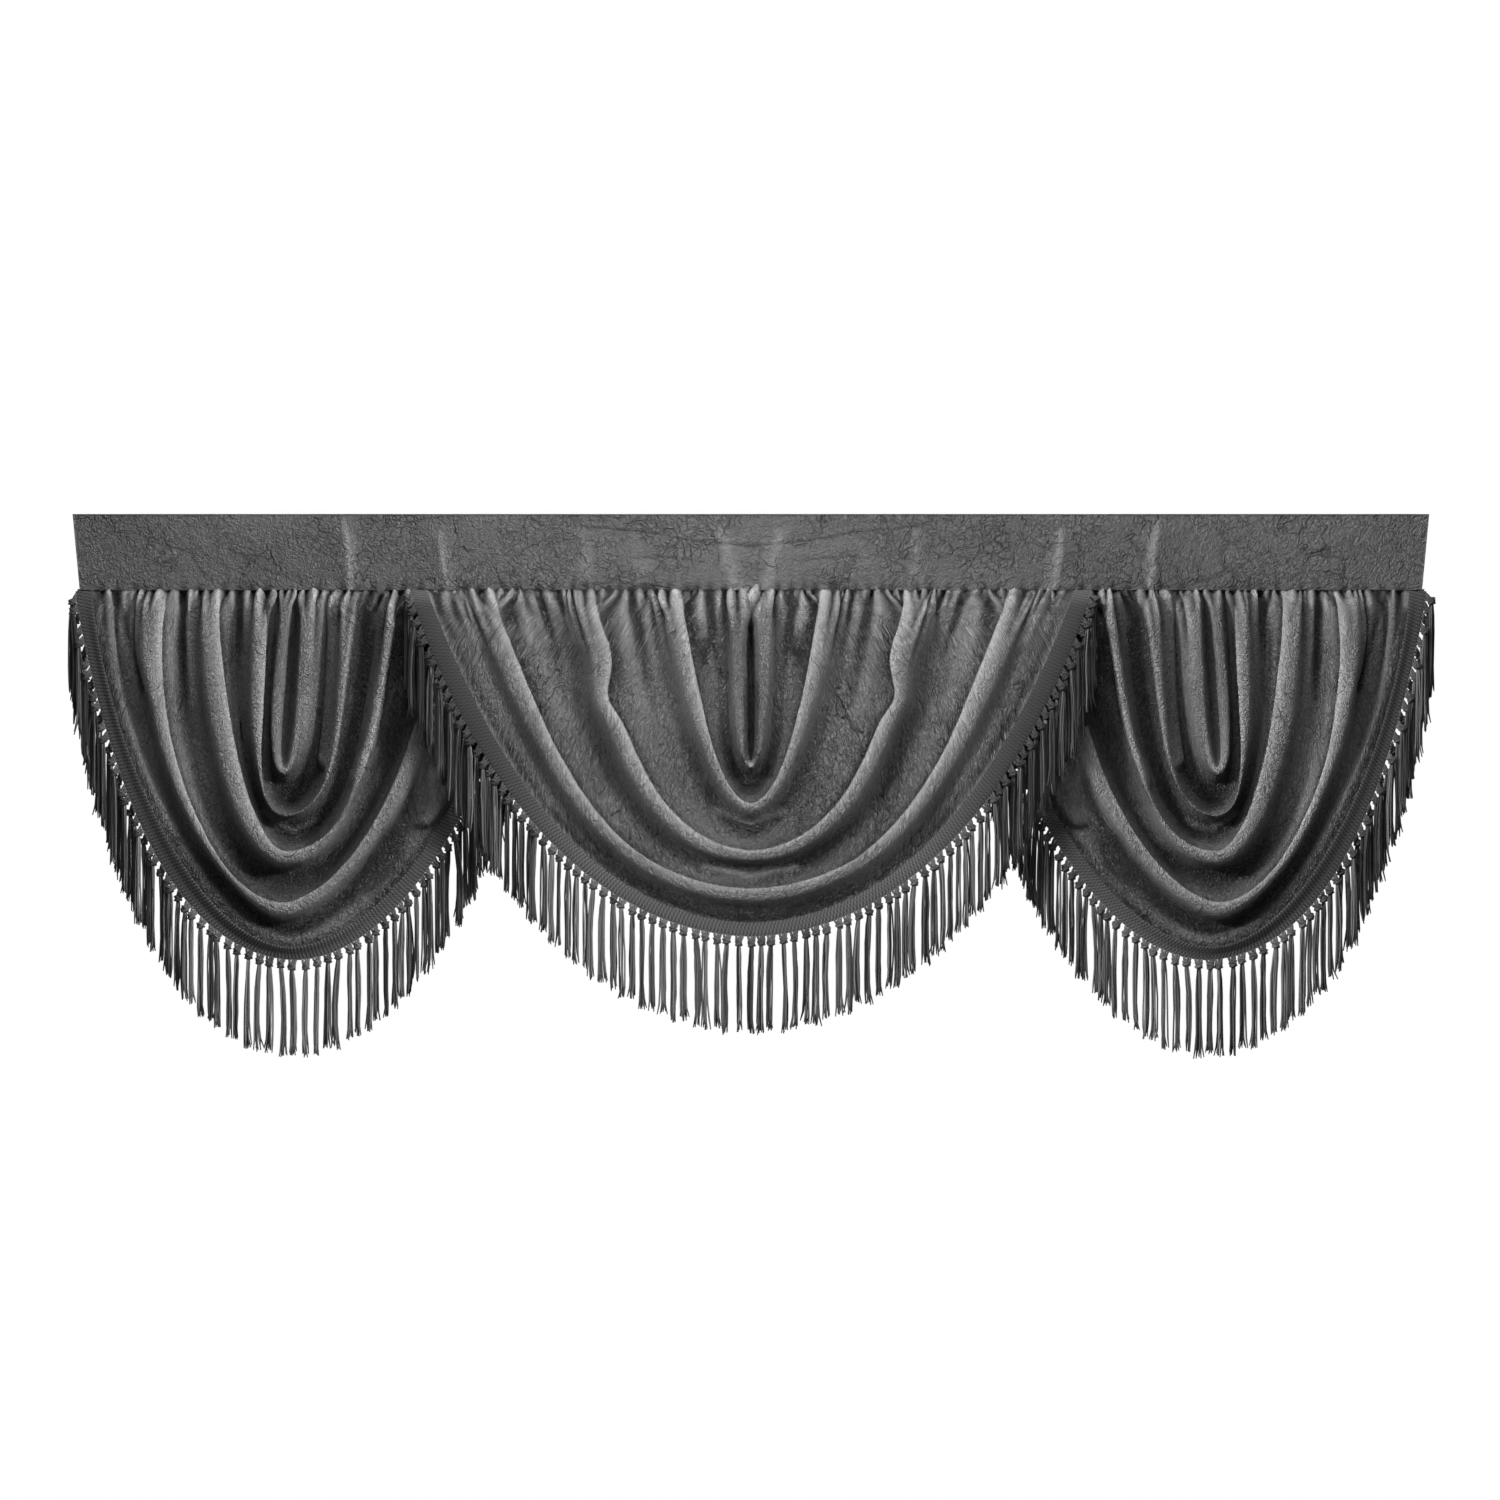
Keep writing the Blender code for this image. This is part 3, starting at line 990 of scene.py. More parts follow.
            # painted light along ridges, painted shade along troughs
            painted_light += crease.painted_light * strength
        grain = Grain(self.seed)
        length = np.cumsum(np.linalg.norm(np.diff(points, axis=1, prepend=points[:, :1]), axis=-1), 1)
        depth = np.cumsum(np.linalg.norm(np.diff(points, axis=0, prepend=points[:1]), axis=-1), 0)
        rough = grain.ridges(length / self.crush_size, depth / self.crush_size / 1.3)
        swell = grain.at(depth / 55.0 + 9.0, length / 70.0)
        lift += self.crush * (rough * 1.2 - 0.4) + swell * 0.9
        # painted light where the cloth swells forward and where the gathers open below the seam, and a
        # painted shadow in the seam itself, under the heading's foot
        painted_light += 0.12 * swell + 0.14 * hump(below / 26.0)
        painted_light -= self.seam_shade * hump(below / 2.4)
        # a painted shadow along the braid's inner edge, where it presses on the cloth
        groove = (v - (len(self.lines) - 2.0 + self.groove_at)) / 0.16
        painted_light -= self.groove_shade * hump(groove)[:, None] * smooth(below / FREE_BELOW)
        under_braid = smooth((len(self.lines) - 1.9 - v) / 0.2)[:, None]
        return lift * smooth(below / 2.5) * under_braid, painted_light

    def build(self, finish: Satin) -> bpy.types.Object:
        """Build the sheet.

        Args:
            finish: Its finish.

        Returns:
            The piece.
        """
        v = self.rows()
        t = np.linspace(0.0, 1.0, self.limb_columns + 1) ** 1.15
        w = np.concatenate([t - 1.0, (1.0 - t)[-2::-1]])
        base = self.surface(v, w)
        lift, painted_light = self.small_creases(base, v, w)
        self.points = base + outward(base) * lift[..., None]
        # painted light and shade of the folds, plus that of the gathers, seam and creases
        painted_light = np.clip(painted_light + self.painted_light(v, w), 0.0, 2.0)
        sheet = Sheet(self.points, self.thickness, painted_light, folded_start=True)
        piece = add_piece(self.name + "_satin", sheet.mesh(self.name), finish.material())
        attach(piece, BODY)
        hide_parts(self.name)
        log.info("%s: %d by %d points", piece.name, len(v), len(w))
        return piece

    def mirrored(self, name: str) -> "Swag":
        """The mirror image of this swag across the valance's middle.

        Args:
            name: The new swag's name.

        Returns:
            The new swag.
        """
        lines = tuple(
            replace(
                line,
                left=line.right.mirrored(),
                right=line.left.mirrored(),
                low=replace(line.low, x=-line.low.x),
            )
            for line in self.lines
        )
        tucks = tuple(replace(tuck, seam=-tuck.seam) for tuck in self.tucks)
        creases = tuple(crease.mirrored() for crease in self.creases)
        return replace(
            self, name=name, lines=lines, tucks=tucks, creases=creases, centre=-self.centre,
            seed=self.seed + 1,
        )


@dataclass
class Heading:
    """The plain double band along the top."""

    name: str = "heading_band"
    thickness: float = 3.4
    columns: int = 600
    rows: int = 52
    ripples: tuple[tuple[float, float, float], ...] = (
        (-640, 60, 1.5), (-457, 16, 3.0), (-348, 18, 2.5), (-150, 60, 1.5), (0, 110, 1.0),
        (150, 60, 1.5), (348, 18, 2.5), (457, 16, 3.0), (640, 60, 1.5),
    )
    creases: tuple[Crease, ...] = ()
    puckers: tuple[Tuck, ...] = ()

    def build(self, finish: Satin) -> bpy.types.Object:
        """Build the band.

        Args:
            finish: Its finish.

        Returns:
            The piece.
        """
        down = np.linspace(0.0, 1.0, self.rows + 1)[:, None]
        across = np.linspace(-0.5, 0.5, self.columns + 1)[None, :]
        x = across * (HEADING_WIDTH + (HEADING_FOOT_WIDTH - HEADING_WIDTH) * down)
        z = -HEADING_HEIGHT * down + 0.0 * x
        body = np.sin(np.pi * down) ** 2
        stand = sum(high * hump((x - at) / wide) for at, wide, high in self.ripples) * body
        grain = Grain(5)
        edge = smooth(np.minimum(down, 1.0 - down) * 10.0)
        stand = stand + edge * 0.5 * grain.ridges(x / 23.0, z / 17.0)
        stand = stand + edge * 0.5 * grain.at(x / 60.0 + 7.0, z / 35.0)
        # random tone, and darker along the top edge
        painted_light = 0.5 + 0.1 * grain.at(x / 90.0 + 3.0, z / 45.0) - 0.5 * np.exp(z / 1.2)
        # darker towards the middle, painted shade against the brighter light that falls there
        painted_light = painted_light - 0.13 * hump(x / 330.0)
        for crease in self.creases:
            strength = crease.strength(x, z)
            stand = stand + crease.rise * strength
            # painted highlights along the streaks, painted shade along the troughs
            painted_light = painted_light + crease.painted_light * strength
        for tuck in self.puckers:
            pinch = hump((x - tuck.seam) / 4.0) * np.exp(-(z + HEADING_HEIGHT) / 6.0)
            stand = stand - 0.4 * tuck.depth * pinch
            # painted shade in each pucker
            painted_light = painted_light - 0.8 * pinch
        points = np.stack([x, -stand, z], axis=-1)
        sheet = Sheet(points, self.thickness, np.clip(painted_light, 0.0, 2.0))
        piece = add_piece("heading_satin", sheet.mesh(self.name), finish.material())
        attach(piece, BODY)
        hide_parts(self.name)
        log.info("%s: %d by %d points", piece.name, self.rows + 1, self.columns + 1)
        return piece


def tubes(paths: np.ndarray, radius: np.ndarray, sides: int) -> tuple[np.ndarray, np.ndarray]:
    """Make many thin tubes of one length in points.

    Args:
        paths: The middle lines, as tubes, points and places.
        radius: The radius at each point.
        sides: How many sides a tube has.

    Returns:
        The points, and the faces with four corners, of which the end faces fold one corner.
    """
    count, steps = paths.shape[:2]
    way = unit(np.gradient(paths, axis=1))
    aside = unit(np.cross(way, np.broadcast_to((0.13, 1.0, 0.07), way.shape)))
    front = np.cross(way, aside)
    turn = 2.0 * np.pi * np.arange(sides) / sides
    ring = (
        np.cos(turn)[:, None] * aside[:, :, None, :] + np.sin(turn)[:, None] * front[:, :, None, :]
    )
    points = paths[:, :, None, :] + ring * radius[..., None, None]
    index = np.arange(count * steps * sides).reshape(count, steps, sides)
    return points.reshape(-1, 3), grid_faces(closed(index, 2), turned=True)


def tube_ends(count: int, steps: int, sides: int) -> np.ndarray:
    """The end faces of the tubes that `tubes` makes.

    Args:
        count: How many tubes there are.
        steps: How many points each has.
        sides: How many sides.

    Returns:
        Faces with as many corners as a tube has sides.
    """
    index = np.arange(count * steps * sides).reshape(count, steps, sides)
    return np.concatenate([index[:, 0, ::-1], index[:, -1]])


Shell = tuple[np.ndarray, np.ndarray, np.ndarray | None, np.ndarray]
"""Points, faces with four corners, end faces if there are any, and a shade for each point."""


@dataclass
class Lanes:
    """How far forward the tassels of a steep edge hang in turn."""

    left: tuple[float, ...]
    right: tuple[float, ...]


@dataclass
class Fringe:
    """A braid along the hem and the knotted tassels that hang from it."""

    name: str
    swag: Swag
    start: float
    end: float
    lanes: Lanes
    seed: int
    braid_from: float = 0.2
    braid_rows: int = 6
    lip: float = 2.5
    gap: float = 0.35
    thickness: float = 1.4
    rib_pitch: float = 4.1
    rib_height: float = 1.4
    rib_slant: float = 1.3
    rib_steps: int = 4
    pitch: float = 12.3
    first: float = 6.0
    reach: float = 6.9
    hang: float = 100.0
    threads: int = 9
    thread_radius: float = 0.98
    # how much painted shade darkens the braid and tassels where the hem runs steeply and tassels hang in
    # each other's shade
    shaded: float = 0.45
    jitter: float = 1.6

    # places across the braid from its inner edge, and heights from its back to its front
    SECTION = (
        (0.0, 0.0), (0.0, 0.7), (0.06, 1.0), (0.25, 1.0), (0.5, 1.0), (0.75, 1.0), (0.94, 1.0),
        (1.0, 0.7), (1.0, 0.0), (0.75, 0.0), (0.5, 0.0), (0.25, 0.0),
    )
    KNOT = (4.6, 4.1, 4.6)
    WRAP = (4.4, 4.0)
    WRAP_RADIUS = 1.2
    SKIRT_RADIUS = 2.9
    SKIRT_PLACES = (0.02, 0.06, 0.14, 0.32, 0.52, 0.72, 0.89, 1.0)
    SKIRT_WIDTHS = (0.6, 0.75, 0.95, 1.0, 1.0, 1.0, 1.05, 1.2)

    def walk(self) -> tuple[np.ndarray, np.ndarray]:
        """Closely spaced places along the hem, and their lengths from the braid's start."""
        w = np.linspace(self.start, self.end, 3000)
        hem = self.swag.surface(np.array([len(self.swag.lines) - 1.0]), w)[0]
        return w, np.pad(np.cumsum(np.linalg.norm(np.diff(hem, axis=0), axis=-1)), (1, 0))

    def stations(self, wanted: np.ndarray) -> np.ndarray:
        """Turn lengths along the hem into places along the lines.

        Args:
            wanted: Lengths, in millimetres, from the braid's start.

        Returns:
            The places.
        """
        w, walked = self.walk()
        return np.interp(wanted, walked, w)

    def strip(self, w: np.ndarray) -> tuple[np.ndarray, np.ndarray]:
        """The cloth under the braid, and on past the hem by the braid's lip.

        Args:
            w: Places along the lines.

        Returns:
            Points from the braid's inner edge to its outer edge, and the ways that they face.
        """
        last = len(self.swag.lines) - 1.0
        v = last - 1.0 + np.linspace(self.braid_from, 1.0, self.braid_rows)
        rows = self.swag.surface(v, w)
        lip = rows[-1] + unit(rows[-1] - rows[-2]) * self.lip
        rows = np.concatenate([rows, lip[None]])
        return rows, outward(rows)

    @staticmethod
    def steep(way: np.ndarray) -> np.ndarray:
        """Tell how steeply the hem runs, from 0 to 1, of the ways in which it runs."""
        return smooth((np.abs(unit(way)[..., 2]) - 0.6) / 0.3)

    def braid(self, length: float) -> tuple[np.ndarray, np.ndarray, np.ndarray]:
        """The ribbed strip.

        Args:
            length: The hem's length.

        Returns:
            Its points, its faces with four corners, and its shades.
        """
        ribs = round(length / self.rib_pitch)
        run = np.linspace(0.0, length, ribs * self.rib_steps + 1)
        rows, normals = self.strip(self.stations(run))
        # painted shade on steep stretches of the hem
        away = 1.0 - self.shaded * self.steep(np.gradient(rows[-1], axis=0))
        section, shade = [], []
        for across, height in self.SECTION:
            wave = 0.5 + 0.5 * np.cos(2 * np.pi * (run / length * ribs + across * self.rib_slant))
            body = self.gap + height * (self.thickness + (wave - 0.5) * self.rib_height)
            row = across * (len(rows) - 1)
            low = min(int(row), len(rows) - 2)
            place = rows[low] + (rows[low + 1] - rows[low]) * (row - low)
            section.append(place + normals[round(row)] * (self.swag.thickness / 2 + body)[:, None])
            # painted shade in the grooves between the ribs and on the braid's back and sides
            shade.append(0.75 * wave ** 2 * (0.4 + 0.6 * height) * away)
        points = np.stack(section, axis=1)
        index = np.arange(points.shape[0] * points.shape[1]).reshape(points.shape[:2])
        return points.reshape(-1, 3), grid_faces(closed(index, 1)), np.stack(shade, axis=1).ravel()

    def build(self, finish: Yarn) -> bpy.types.Object:
        """Build the braid and its tassels as one piece.

        Args:
            finish: Their finish.

        Returns:
            The piece.
        """
        length = float(self.walk()[1][-1])
        places = np.arange(self.first, length - 3.0, self.pitch)
        places = places + np.random.default_rng(self.seed).uniform(-1, 1, len(places)) * self.jitter
        points, faces, shade = self.braid(length)
        count = len(self.SECTION)
        ends = np.array([np.arange(count)[::-1], len(points) - count + np.arange(count)])
        shades = [shade]
        pile, quads, caps = [points], [faces], []
        total = len(points)
        for points, faces, end_faces, shade in self.tassels(places):
            pile.append(points)
            quads.append(faces + total)
            if end_faces is not None:
                caps.append(end_faces + total)
            shades.append(shade)
            total += len(points)
        mesh = new_mesh(self.name, np.concatenate(pile), [*quads, ends, *caps])
        add_shade(mesh, "shade", np.concatenate(shades))
        piece = add_piece(self.name + "_yarn", mesh, finish.material())
        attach(piece, BODY)
        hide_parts(self.name)
        log.info("%s: %d tassels on %.0f mm of braid", piece.name, len(places), length)
        return piece

    def tassels(self, places: np.ndarray) -> Iterable[Shell]:
        """Make all tassels of the braid.

        Args:
            places: Their places along the hem.

        Yields:
            Points, faces, end faces and shades of the strands, knots and threads.
        """
        rng = np.random.default_rng(self.seed)
        number = np.arange(len(places))
        spread = np.stack([places - 1.0, places, places + 1.0])
        strips = [self.strip(self.stations(row)) for row in spread]
        before, edge, after = (rows[-1] for rows, _ in strips)
        normal = strips[1][1][-1]
        root = edge + normal * (self.swag.thickness / 2 + self.gap + self.thickness / 2)
        tangent = unit(after - before)
        out = unit(np.stack([tangent[:, 2], 0 * number, -tangent[:, 0]], axis=-1))
        steep = self.steep(tangent)
        sides = (self.lanes.left, self.lanes.right)
        left, right = (np.array(lane)[number % len(lane)] for lane in sides)
        lane = -np.where(out[:, 0] < 0, left, right) * steep
        pull = unit(np.stack([out[:, 0] * 0.8, 0 * number, out[:, 2] * 0.8 - 0.6], axis=-1))
        knot = root + pull * self.reach + lane[:, None] * np.array((0.0, 1.0, 0.0))
        knot += rng.uniform(-0.9, 0.9, knot.shape)
        # each tassel's own random tone, with painted shade where the hem runs steeply
        tone = rng.uniform(0.25, 0.75, len(places)) * (1.0 - self.shaded * steep)
        yield self.strands(root, tangent, knot, tone)
        yield self.knots(knot, tone, rng)
        for turn in (0.0, 1.0):
            yield self.wraps(knot, tone, turn, rng)
        yield self.skirts(knot, tone, rng)

    def strands(
        self, root: np.ndarray, tangent: np.ndarray, knot: np.ndarray, tone: np.ndarray
    ) -> Shell:
        """The three short strands from the braid to each knot.

        Args:
            root: Where the tassels leave the braid.
            tangent: The way the hem runs there.
            knot: The knots' middles.
            tone: The tassels' shades.

        Returns:
            Points, faces, end faces and shades.
        """
        paths = []
        for side in (-1.0, 0.1, 1.0):
            start = root + tangent * side * 3.2
            bow = tangent * side * 0.9
            paths.append(np.stack([
                start + (start - knot) * 0.15, start * 0.66 + knot * 0.34 + bow,
                start * 0.33 + knot * 0.67 + bow * 0.6, knot,
            ], axis=1))
        path = np.concatenate(paths)
        points, faces = tubes(path, np.tile((1.5, 1.6, 1.7, 1.4), (len(path), 1)), 4)
        shade = np.repeat(np.tile(tone, 3), path.shape[1] * 4)
        return points, faces, tube_ends(len(path), path.shape[1], 4), shade

    def knots(self, knot: np.ndarray, tone: np.ndarray, rng: np.random.Generator) -> Shell:
        """The round middle of each knot.

        Args:
            knot: The knots' middles.
            tone: The tassels' shades.
            rng: The fringe's own random draws.

        Returns:
            Points, faces, no end faces, and shades.
        """
        around, down = 10, 6
        turn = 2 * np.pi * np.arange(around) / around
        dip = np.pi * (np.arange(down + 1) / down) * 0.94 + 0.03 * np.pi
        phase = rng.uniform(0, 6.28, len(knot))[:, None, None]
        size = rng.uniform(0.86, 1.1, (len(knot), 1, 1, 3)) * np.array(self.KNOT)
        lump = 1.0 + 0.14 * np.sin(3 * turn[None, None, :] + 2.6 * dip[None, :, None] + phase)
        ball = np.stack([
            np.sin(dip)[:, None] * np.cos(turn), np.sin(dip)[:, None] * np.sin(turn),
            np.cos(dip)[:, None] + 0 * turn,
        ], axis=-1)
        points = knot[:, None, None, :] + ball * lump[..., None] * size
        index = np.arange(points[..., 0].size).reshape(points.shape[:3])
        faces, ends = grid_faces(closed(index, 2)), np.concatenate([index[:, 0], index[:, -1, ::-1]])
        return points.reshape(-1, 3), faces, ends, np.repeat(tone * 0.6, around * (down + 1))

    def wraps(
        self, knot: np.ndarray, tone: np.ndarray, turn: float, rng: np.random.Generator
    ) -> Shell:
        """One turn of yarn round each knot.

        Args:
            knot: The knots' middles.
            tone: The tassels' shades.
            turn: 0 for a turn that slants one way, 1 for the other.
            rng: The fringe's own random draws.

        Returns:
            Points, faces, no end faces, and shades.
        """
        around, sides = 10, 4
        angle = 2 * np.pi * np.arange(around) / around
        slant = (0.5 - turn) * 1.5 + rng.uniform(-0.35, 0.35, len(knot))[:, None]
        wide, deep = self.WRAP
        x = np.cos(angle)[None, :] * wide
        y = np.sin(angle)[None, :] * deep + 0 * x
        rise = np.cos(angle - 0.6)[None, :] * np.sin(slant) * deep
        middle = np.stack([x * np.cos(slant * 0.6), y + 0 * slant, rise], axis=-1)
        away = unit(middle)
        points = []
        for side in range(sides):
            bend = 2 * np.pi * side / sides
            ring = np.cos(bend) * away + np.sin(bend) * np.array((0, 0, 1.0))
            points.append(middle + self.WRAP_RADIUS * ring)
        points = knot[:, None, None, :] + np.stack(points, axis=2)
        index = np.arange(points[..., 0].size).reshape(points.shape[:3])
        faces = grid_faces(closed(closed(index, 1), 2), turned=True)
        return points.reshape(-1, 3), faces, None, np.repeat(tone * 0.8, around * sides)

    def skirts(self, knot: np.ndarray, tone: np.ndarray, rng: np.random.Generator) -> Shell:
        """The loose threads below each knot.

        Args:
            knot: The knots' middles.
            tone: The tassels' shades.
            rng: The fringe's own random draws.

        Returns:
            Points, faces, end faces and shades.
        """
        count = len(knot)
        down, width = np.array(self.SKIRT_PLACES), np.array(self.SKIRT_WIDTHS)
        angle = np.arange(self.threads) * 2.4 + rng.uniform(0, 6.28, (count, 1))
        radius = self.SKIRT_RADIUS * np.sqrt((np.arange(self.threads) + 0.5) / self.threads)
        radius = radius * rng.uniform(0.8, 1.15, (count, self.threads))
        hang = self.hang + 3.0 * np.sin(np.arange(count) * 2.4)[:, None]
        hang = hang + rng.uniform(-3.5, 2.5, (count, self.threads))
        wander = np.cumsum(rng.normal(0.0, 0.42, (count, self.threads, len(down), 2)), axis=2)
        wander *= smooth(down / 0.3)[:, None]
        fray = rng.normal(0.0, 1.0, (count, self.threads, 2))
        ends = np.clip((down - 0.8) / 0.2, 0.0, 1.0) ** 1.5
        sway = rng.normal(0.0, 1.5, (count, 1, 1)) * np.sin(down * 2.6) + 0 * radius[..., None]
        x = radius[..., None] * np.cos(angle)[..., None] * width + wander[..., 0] + sway
        y = radius[..., None] * np.sin(angle)[..., None] * width + wander[..., 1]
        x = x + fray[..., 0, None] * ends * 1.6
        y = y + fray[..., 1, None] * ends * 1.6
        z = -2.0 - (hang[..., None] - 2.0) * down
        paths = knot[:, None, None, :] + np.stack([x, y, z], axis=-1)
        paths = paths.reshape(-1, len(down), 3)
        sizes = np.full(paths.shape[:2], self.thread_radius)
        sizes[:, -1] *= 0.6
        points, faces = tubes(paths, sizes, 4)
        own = np.clip(tone[:, None] + rng.normal(0.0, 0.33, (count, self.threads)), 0.0, 1.0)
        shade = np.repeat(own.ravel(), len(down) * 4)
        return points, faces, tube_ends(len(paths), len(down), 4), shade


@dataclass
class Studio:
    """The camera at the photograph's angle, soft light, and a pale floor."""

    camera_back: float = 6.32
    camera_x: float = -0.001
    camera_z: float = -0.265
    lens: float = 135.0
    floor_z: float = -1.4
    floor_radius: float = 1.7
    world_light: float = 0.08
    aim: tuple[float, float, float] = (0.0, 0.0, -0.3)

    def area(
        self, name: str, place: tuple[float, float, float], aim: tuple[float, float, float],
        size: tuple[float, float], power: float, spread: float = 180.0,
    ) -> None:
        """Add a soft light.

        Args:
            name: Its name.
            place: Where it stands.
            aim: What it points at.
            size: Its width and height.
            power: Its power in watts.
            spread: The angle of its beam, in degrees.
        """
        light = bpy.data.lights.new(name, "AREA")
        light.shape = "RECTANGLE"
        light.size, light.size_y = size
        light.energy = power
        light.spread = math.radians(spread)
        lamp = bpy.data.objects.new(name, light)
        lamp.location = place
        lamp.rotation_euler = (Vector(aim) - Vector(place)).to_track_quat("-Z", "Y").to_euler()
        bpy.context.scene.collection.objects.link(lamp)

    def world(self) -> None:
        """White surroundings that light the cloth only a little."""
        world = bpy.data.worlds.new("studio")
        world.use_nodes = True
        bpy.context.scene.world = world
        nodes, links = world.node_tree.nodes, world.node_tree.links
        lit, seen = nodes["Background"], nodes.new("ShaderNodeBackground")
        for background, strength in ((lit, self.world_light), (seen, 1.0)):
            background.inputs["Color"].default_value = (1.0, 1.0, 1.0, 1.0)
            background.inputs["Strength"].default_value = strength
        path = nodes.new("ShaderNodeLightPath")
        mix = nodes.new("ShaderNodeMixShader")
        links.new(path.outputs["Is Camera Ray"], mix.inputs[0])
        links.new(lit.outputs[0], mix.inputs[1])
        links.new(seen.outputs[0], mix.inputs[2])
        links.new(mix.outputs[0], nodes["World Output"].inputs["Surface"])

    def build(self) -> None:
        """Set up the camera, the lights, the surroundings and the floor."""
        data = bpy.data.cameras.new("camera")
        data.lens = self.lens
        data.sensor_width = 36.0
        camera = bpy.data.objects.new("camera", data)
        camera.location = (self.camera_x, -self.camera_back, self.camera_z)
        camera.rotation_euler = (math.pi / 2, 0.0, 0.0)
        bpy.context.scene.collection.objects.link(camera)
        bpy.context.scene.camera = camera
        bpy.context.scene.view_settings.view_transform = "Standard"
        self.world()
        self.area("key", (0.0, -1.5, 2.0), self.aim, size=(1.2, 0.6), power=43.0)
        self.area("front", (0.0, -3.2, 0.1), self.aim, size=(1.6, 1.2), power=6.0)
        for name, side in (("cross_left", -1.0), ("cross_right", 1.0)):
            place, aim = (-0.8 * side, -1.1, 0.25), (0.86 * side, 0.0, -0.3)
            self.area(name, place, aim, size=(0.3, 0.3), power=3.8, spread=60.0)
        self.area("back", (0.0, 2.6, 0.6), self.aim, size=(1.6, 1.0), power=30.0)
        bpy.ops.mesh.primitive_circle_add(vertices=96, radius=self.floor_radius, fill_type="NGON")
        floor = bpy.context.object
        floor.name = "floor"
        floor.location = (0.0, 0.0, self.floor_z)
        paint = {"Base Color": (0.8, 0.8, 0.79, 1.0), "Roughness": 0.7}
        floor.data.materials.append(Graph("floor_paint").finish(paint))
        log.info("studio ready")


def whole_lines(half: tuple[Line, ...]) -> tuple[Line, ...]:
    """Give each line of an even swag its right limb.

    Args:
        half: The lines, whose right limbs are copies of the left ones.

    Returns:
        The whole lines.
    """
    return tuple(replace(line, right=line.left.mirrored()) for line in half)


def whole_tucks(half: tuple[Tuck, ...]) -> tuple[Tuck, ...]:
    """The tucks of both sides of an even swag."""
    return half + tuple(replace(tuck, seam=-tuck.seam) for tuck in half)


def whole_creases(half: tuple[Crease, ...]) -> tuple[Crease, ...]:
    """The creases of both sides of an even swag."""
    return half + tuple(crease.mirrored() for crease in half)


BROAD, ROUND, SLOPE, DEEP, CRISP, LAPPED = Turn

# Limb: seam, lean, drop, sweep, stand, painted light, inner turn, outer turn. Low: x, z, stand, painted
# light, inner turn, outer turn. The painted light is light on crests and painted shade in valleys.
SIDE_LINES = (
    Line("slit", Limb(13, -7, 60, 2, -8, 0.0, ROUND, DEEP), Low(-1, -276, -6, 0.0, ROUND, DEEP),
         Limb(13, -7, 60, 2, -8, 0.0, ROUND, DEEP)),
    Line("pouch", Limb(2, -12, 110, 25, 27, 0.6, BROAD, ROUND), Low(-1, -292, 34, 0.8, BROAD, CRISP),
         Limb(26, -8, 110, 25, 28, 0.65, BROAD, ROUND)),
    Line("valley_1", Limb(-11, -5, 110, 36, -2, 0.12, DEEP, ROUND), Low(3, -322, 0, 0.0, BROAD, ROUND),
         Limb(49, -5, 115, 48, -12, 0.0, DEEP, DEEP)),
    Line("fold_2", Limb(-20, 0, 130, 47, 27, 0.7, LAPPED, BROAD), Low(1, -338, 38, 0.8, CRISP, CRISP),
         Limb(85, -22, 115, 70, 30, 0.75, BROAD, LAPPED)),
    Line("valley_2", Limb(-55, -5, 140, 54, 0, 0.28, DEEP, ROUND), Low(3, -358, 2, 0.0, BROAD, ROUND),
         Limb(106, -20, 120, 84, -8, 0.0, BROAD, DEEP)),
    Line("fold_3", Limb(-77, 8, 160, 40, 28, 0.7, LAPPED, SLOPE), Low(2, -379, 44, 0.7, CRISP, BROAD),
         Limb(132, -30, 135, 92, 22, 0.8, BROAD, LAPPED)),
    Line("valley_3", Limb(-124, -14, 185, 75, 5, 0.5, SLOPE, ROUND), Low(0, -408, 8, 0.04),
         Limb(153, -18, 150, 95, -7, 0.0, BROAD, BROAD)),
    Line("fold_4", Limb(-134, -25, 190, 70, 26, 0.85, LAPPED, SLOPE),
         Low(-3, -436, 46, 0.75, CRISP, BROAD), Limb(171, -10, 190, 75, 14, 0.7, CRISP, BROAD)),
    Line("valley_4", Limb(-186, -20, 180, 60, 4, 0.46, SLOPE, ROUND), Low(1, -466, 12, 0.02),
         Limb(228, -15, 220, 55, -2, 0.22, BROAD, ROUND)),
    Line("hem_fold", Limb(-212, 15, 195, 85, 14, 0.35), Low(3, -480, 27, 0.55),
         Limb(260, -35, 205, 110, 1, 0.3)),
    Line("edge", Limb(-236, 38, 205, 145, 10, 0.35), Low(12, -498, 18, 0.3),
         Limb(285, -40, 190, 125, -1, 0.3)),
)

PINCHED = (Bend(0.16, 0.07, 7), Bend(0.29, 0.055, -9))

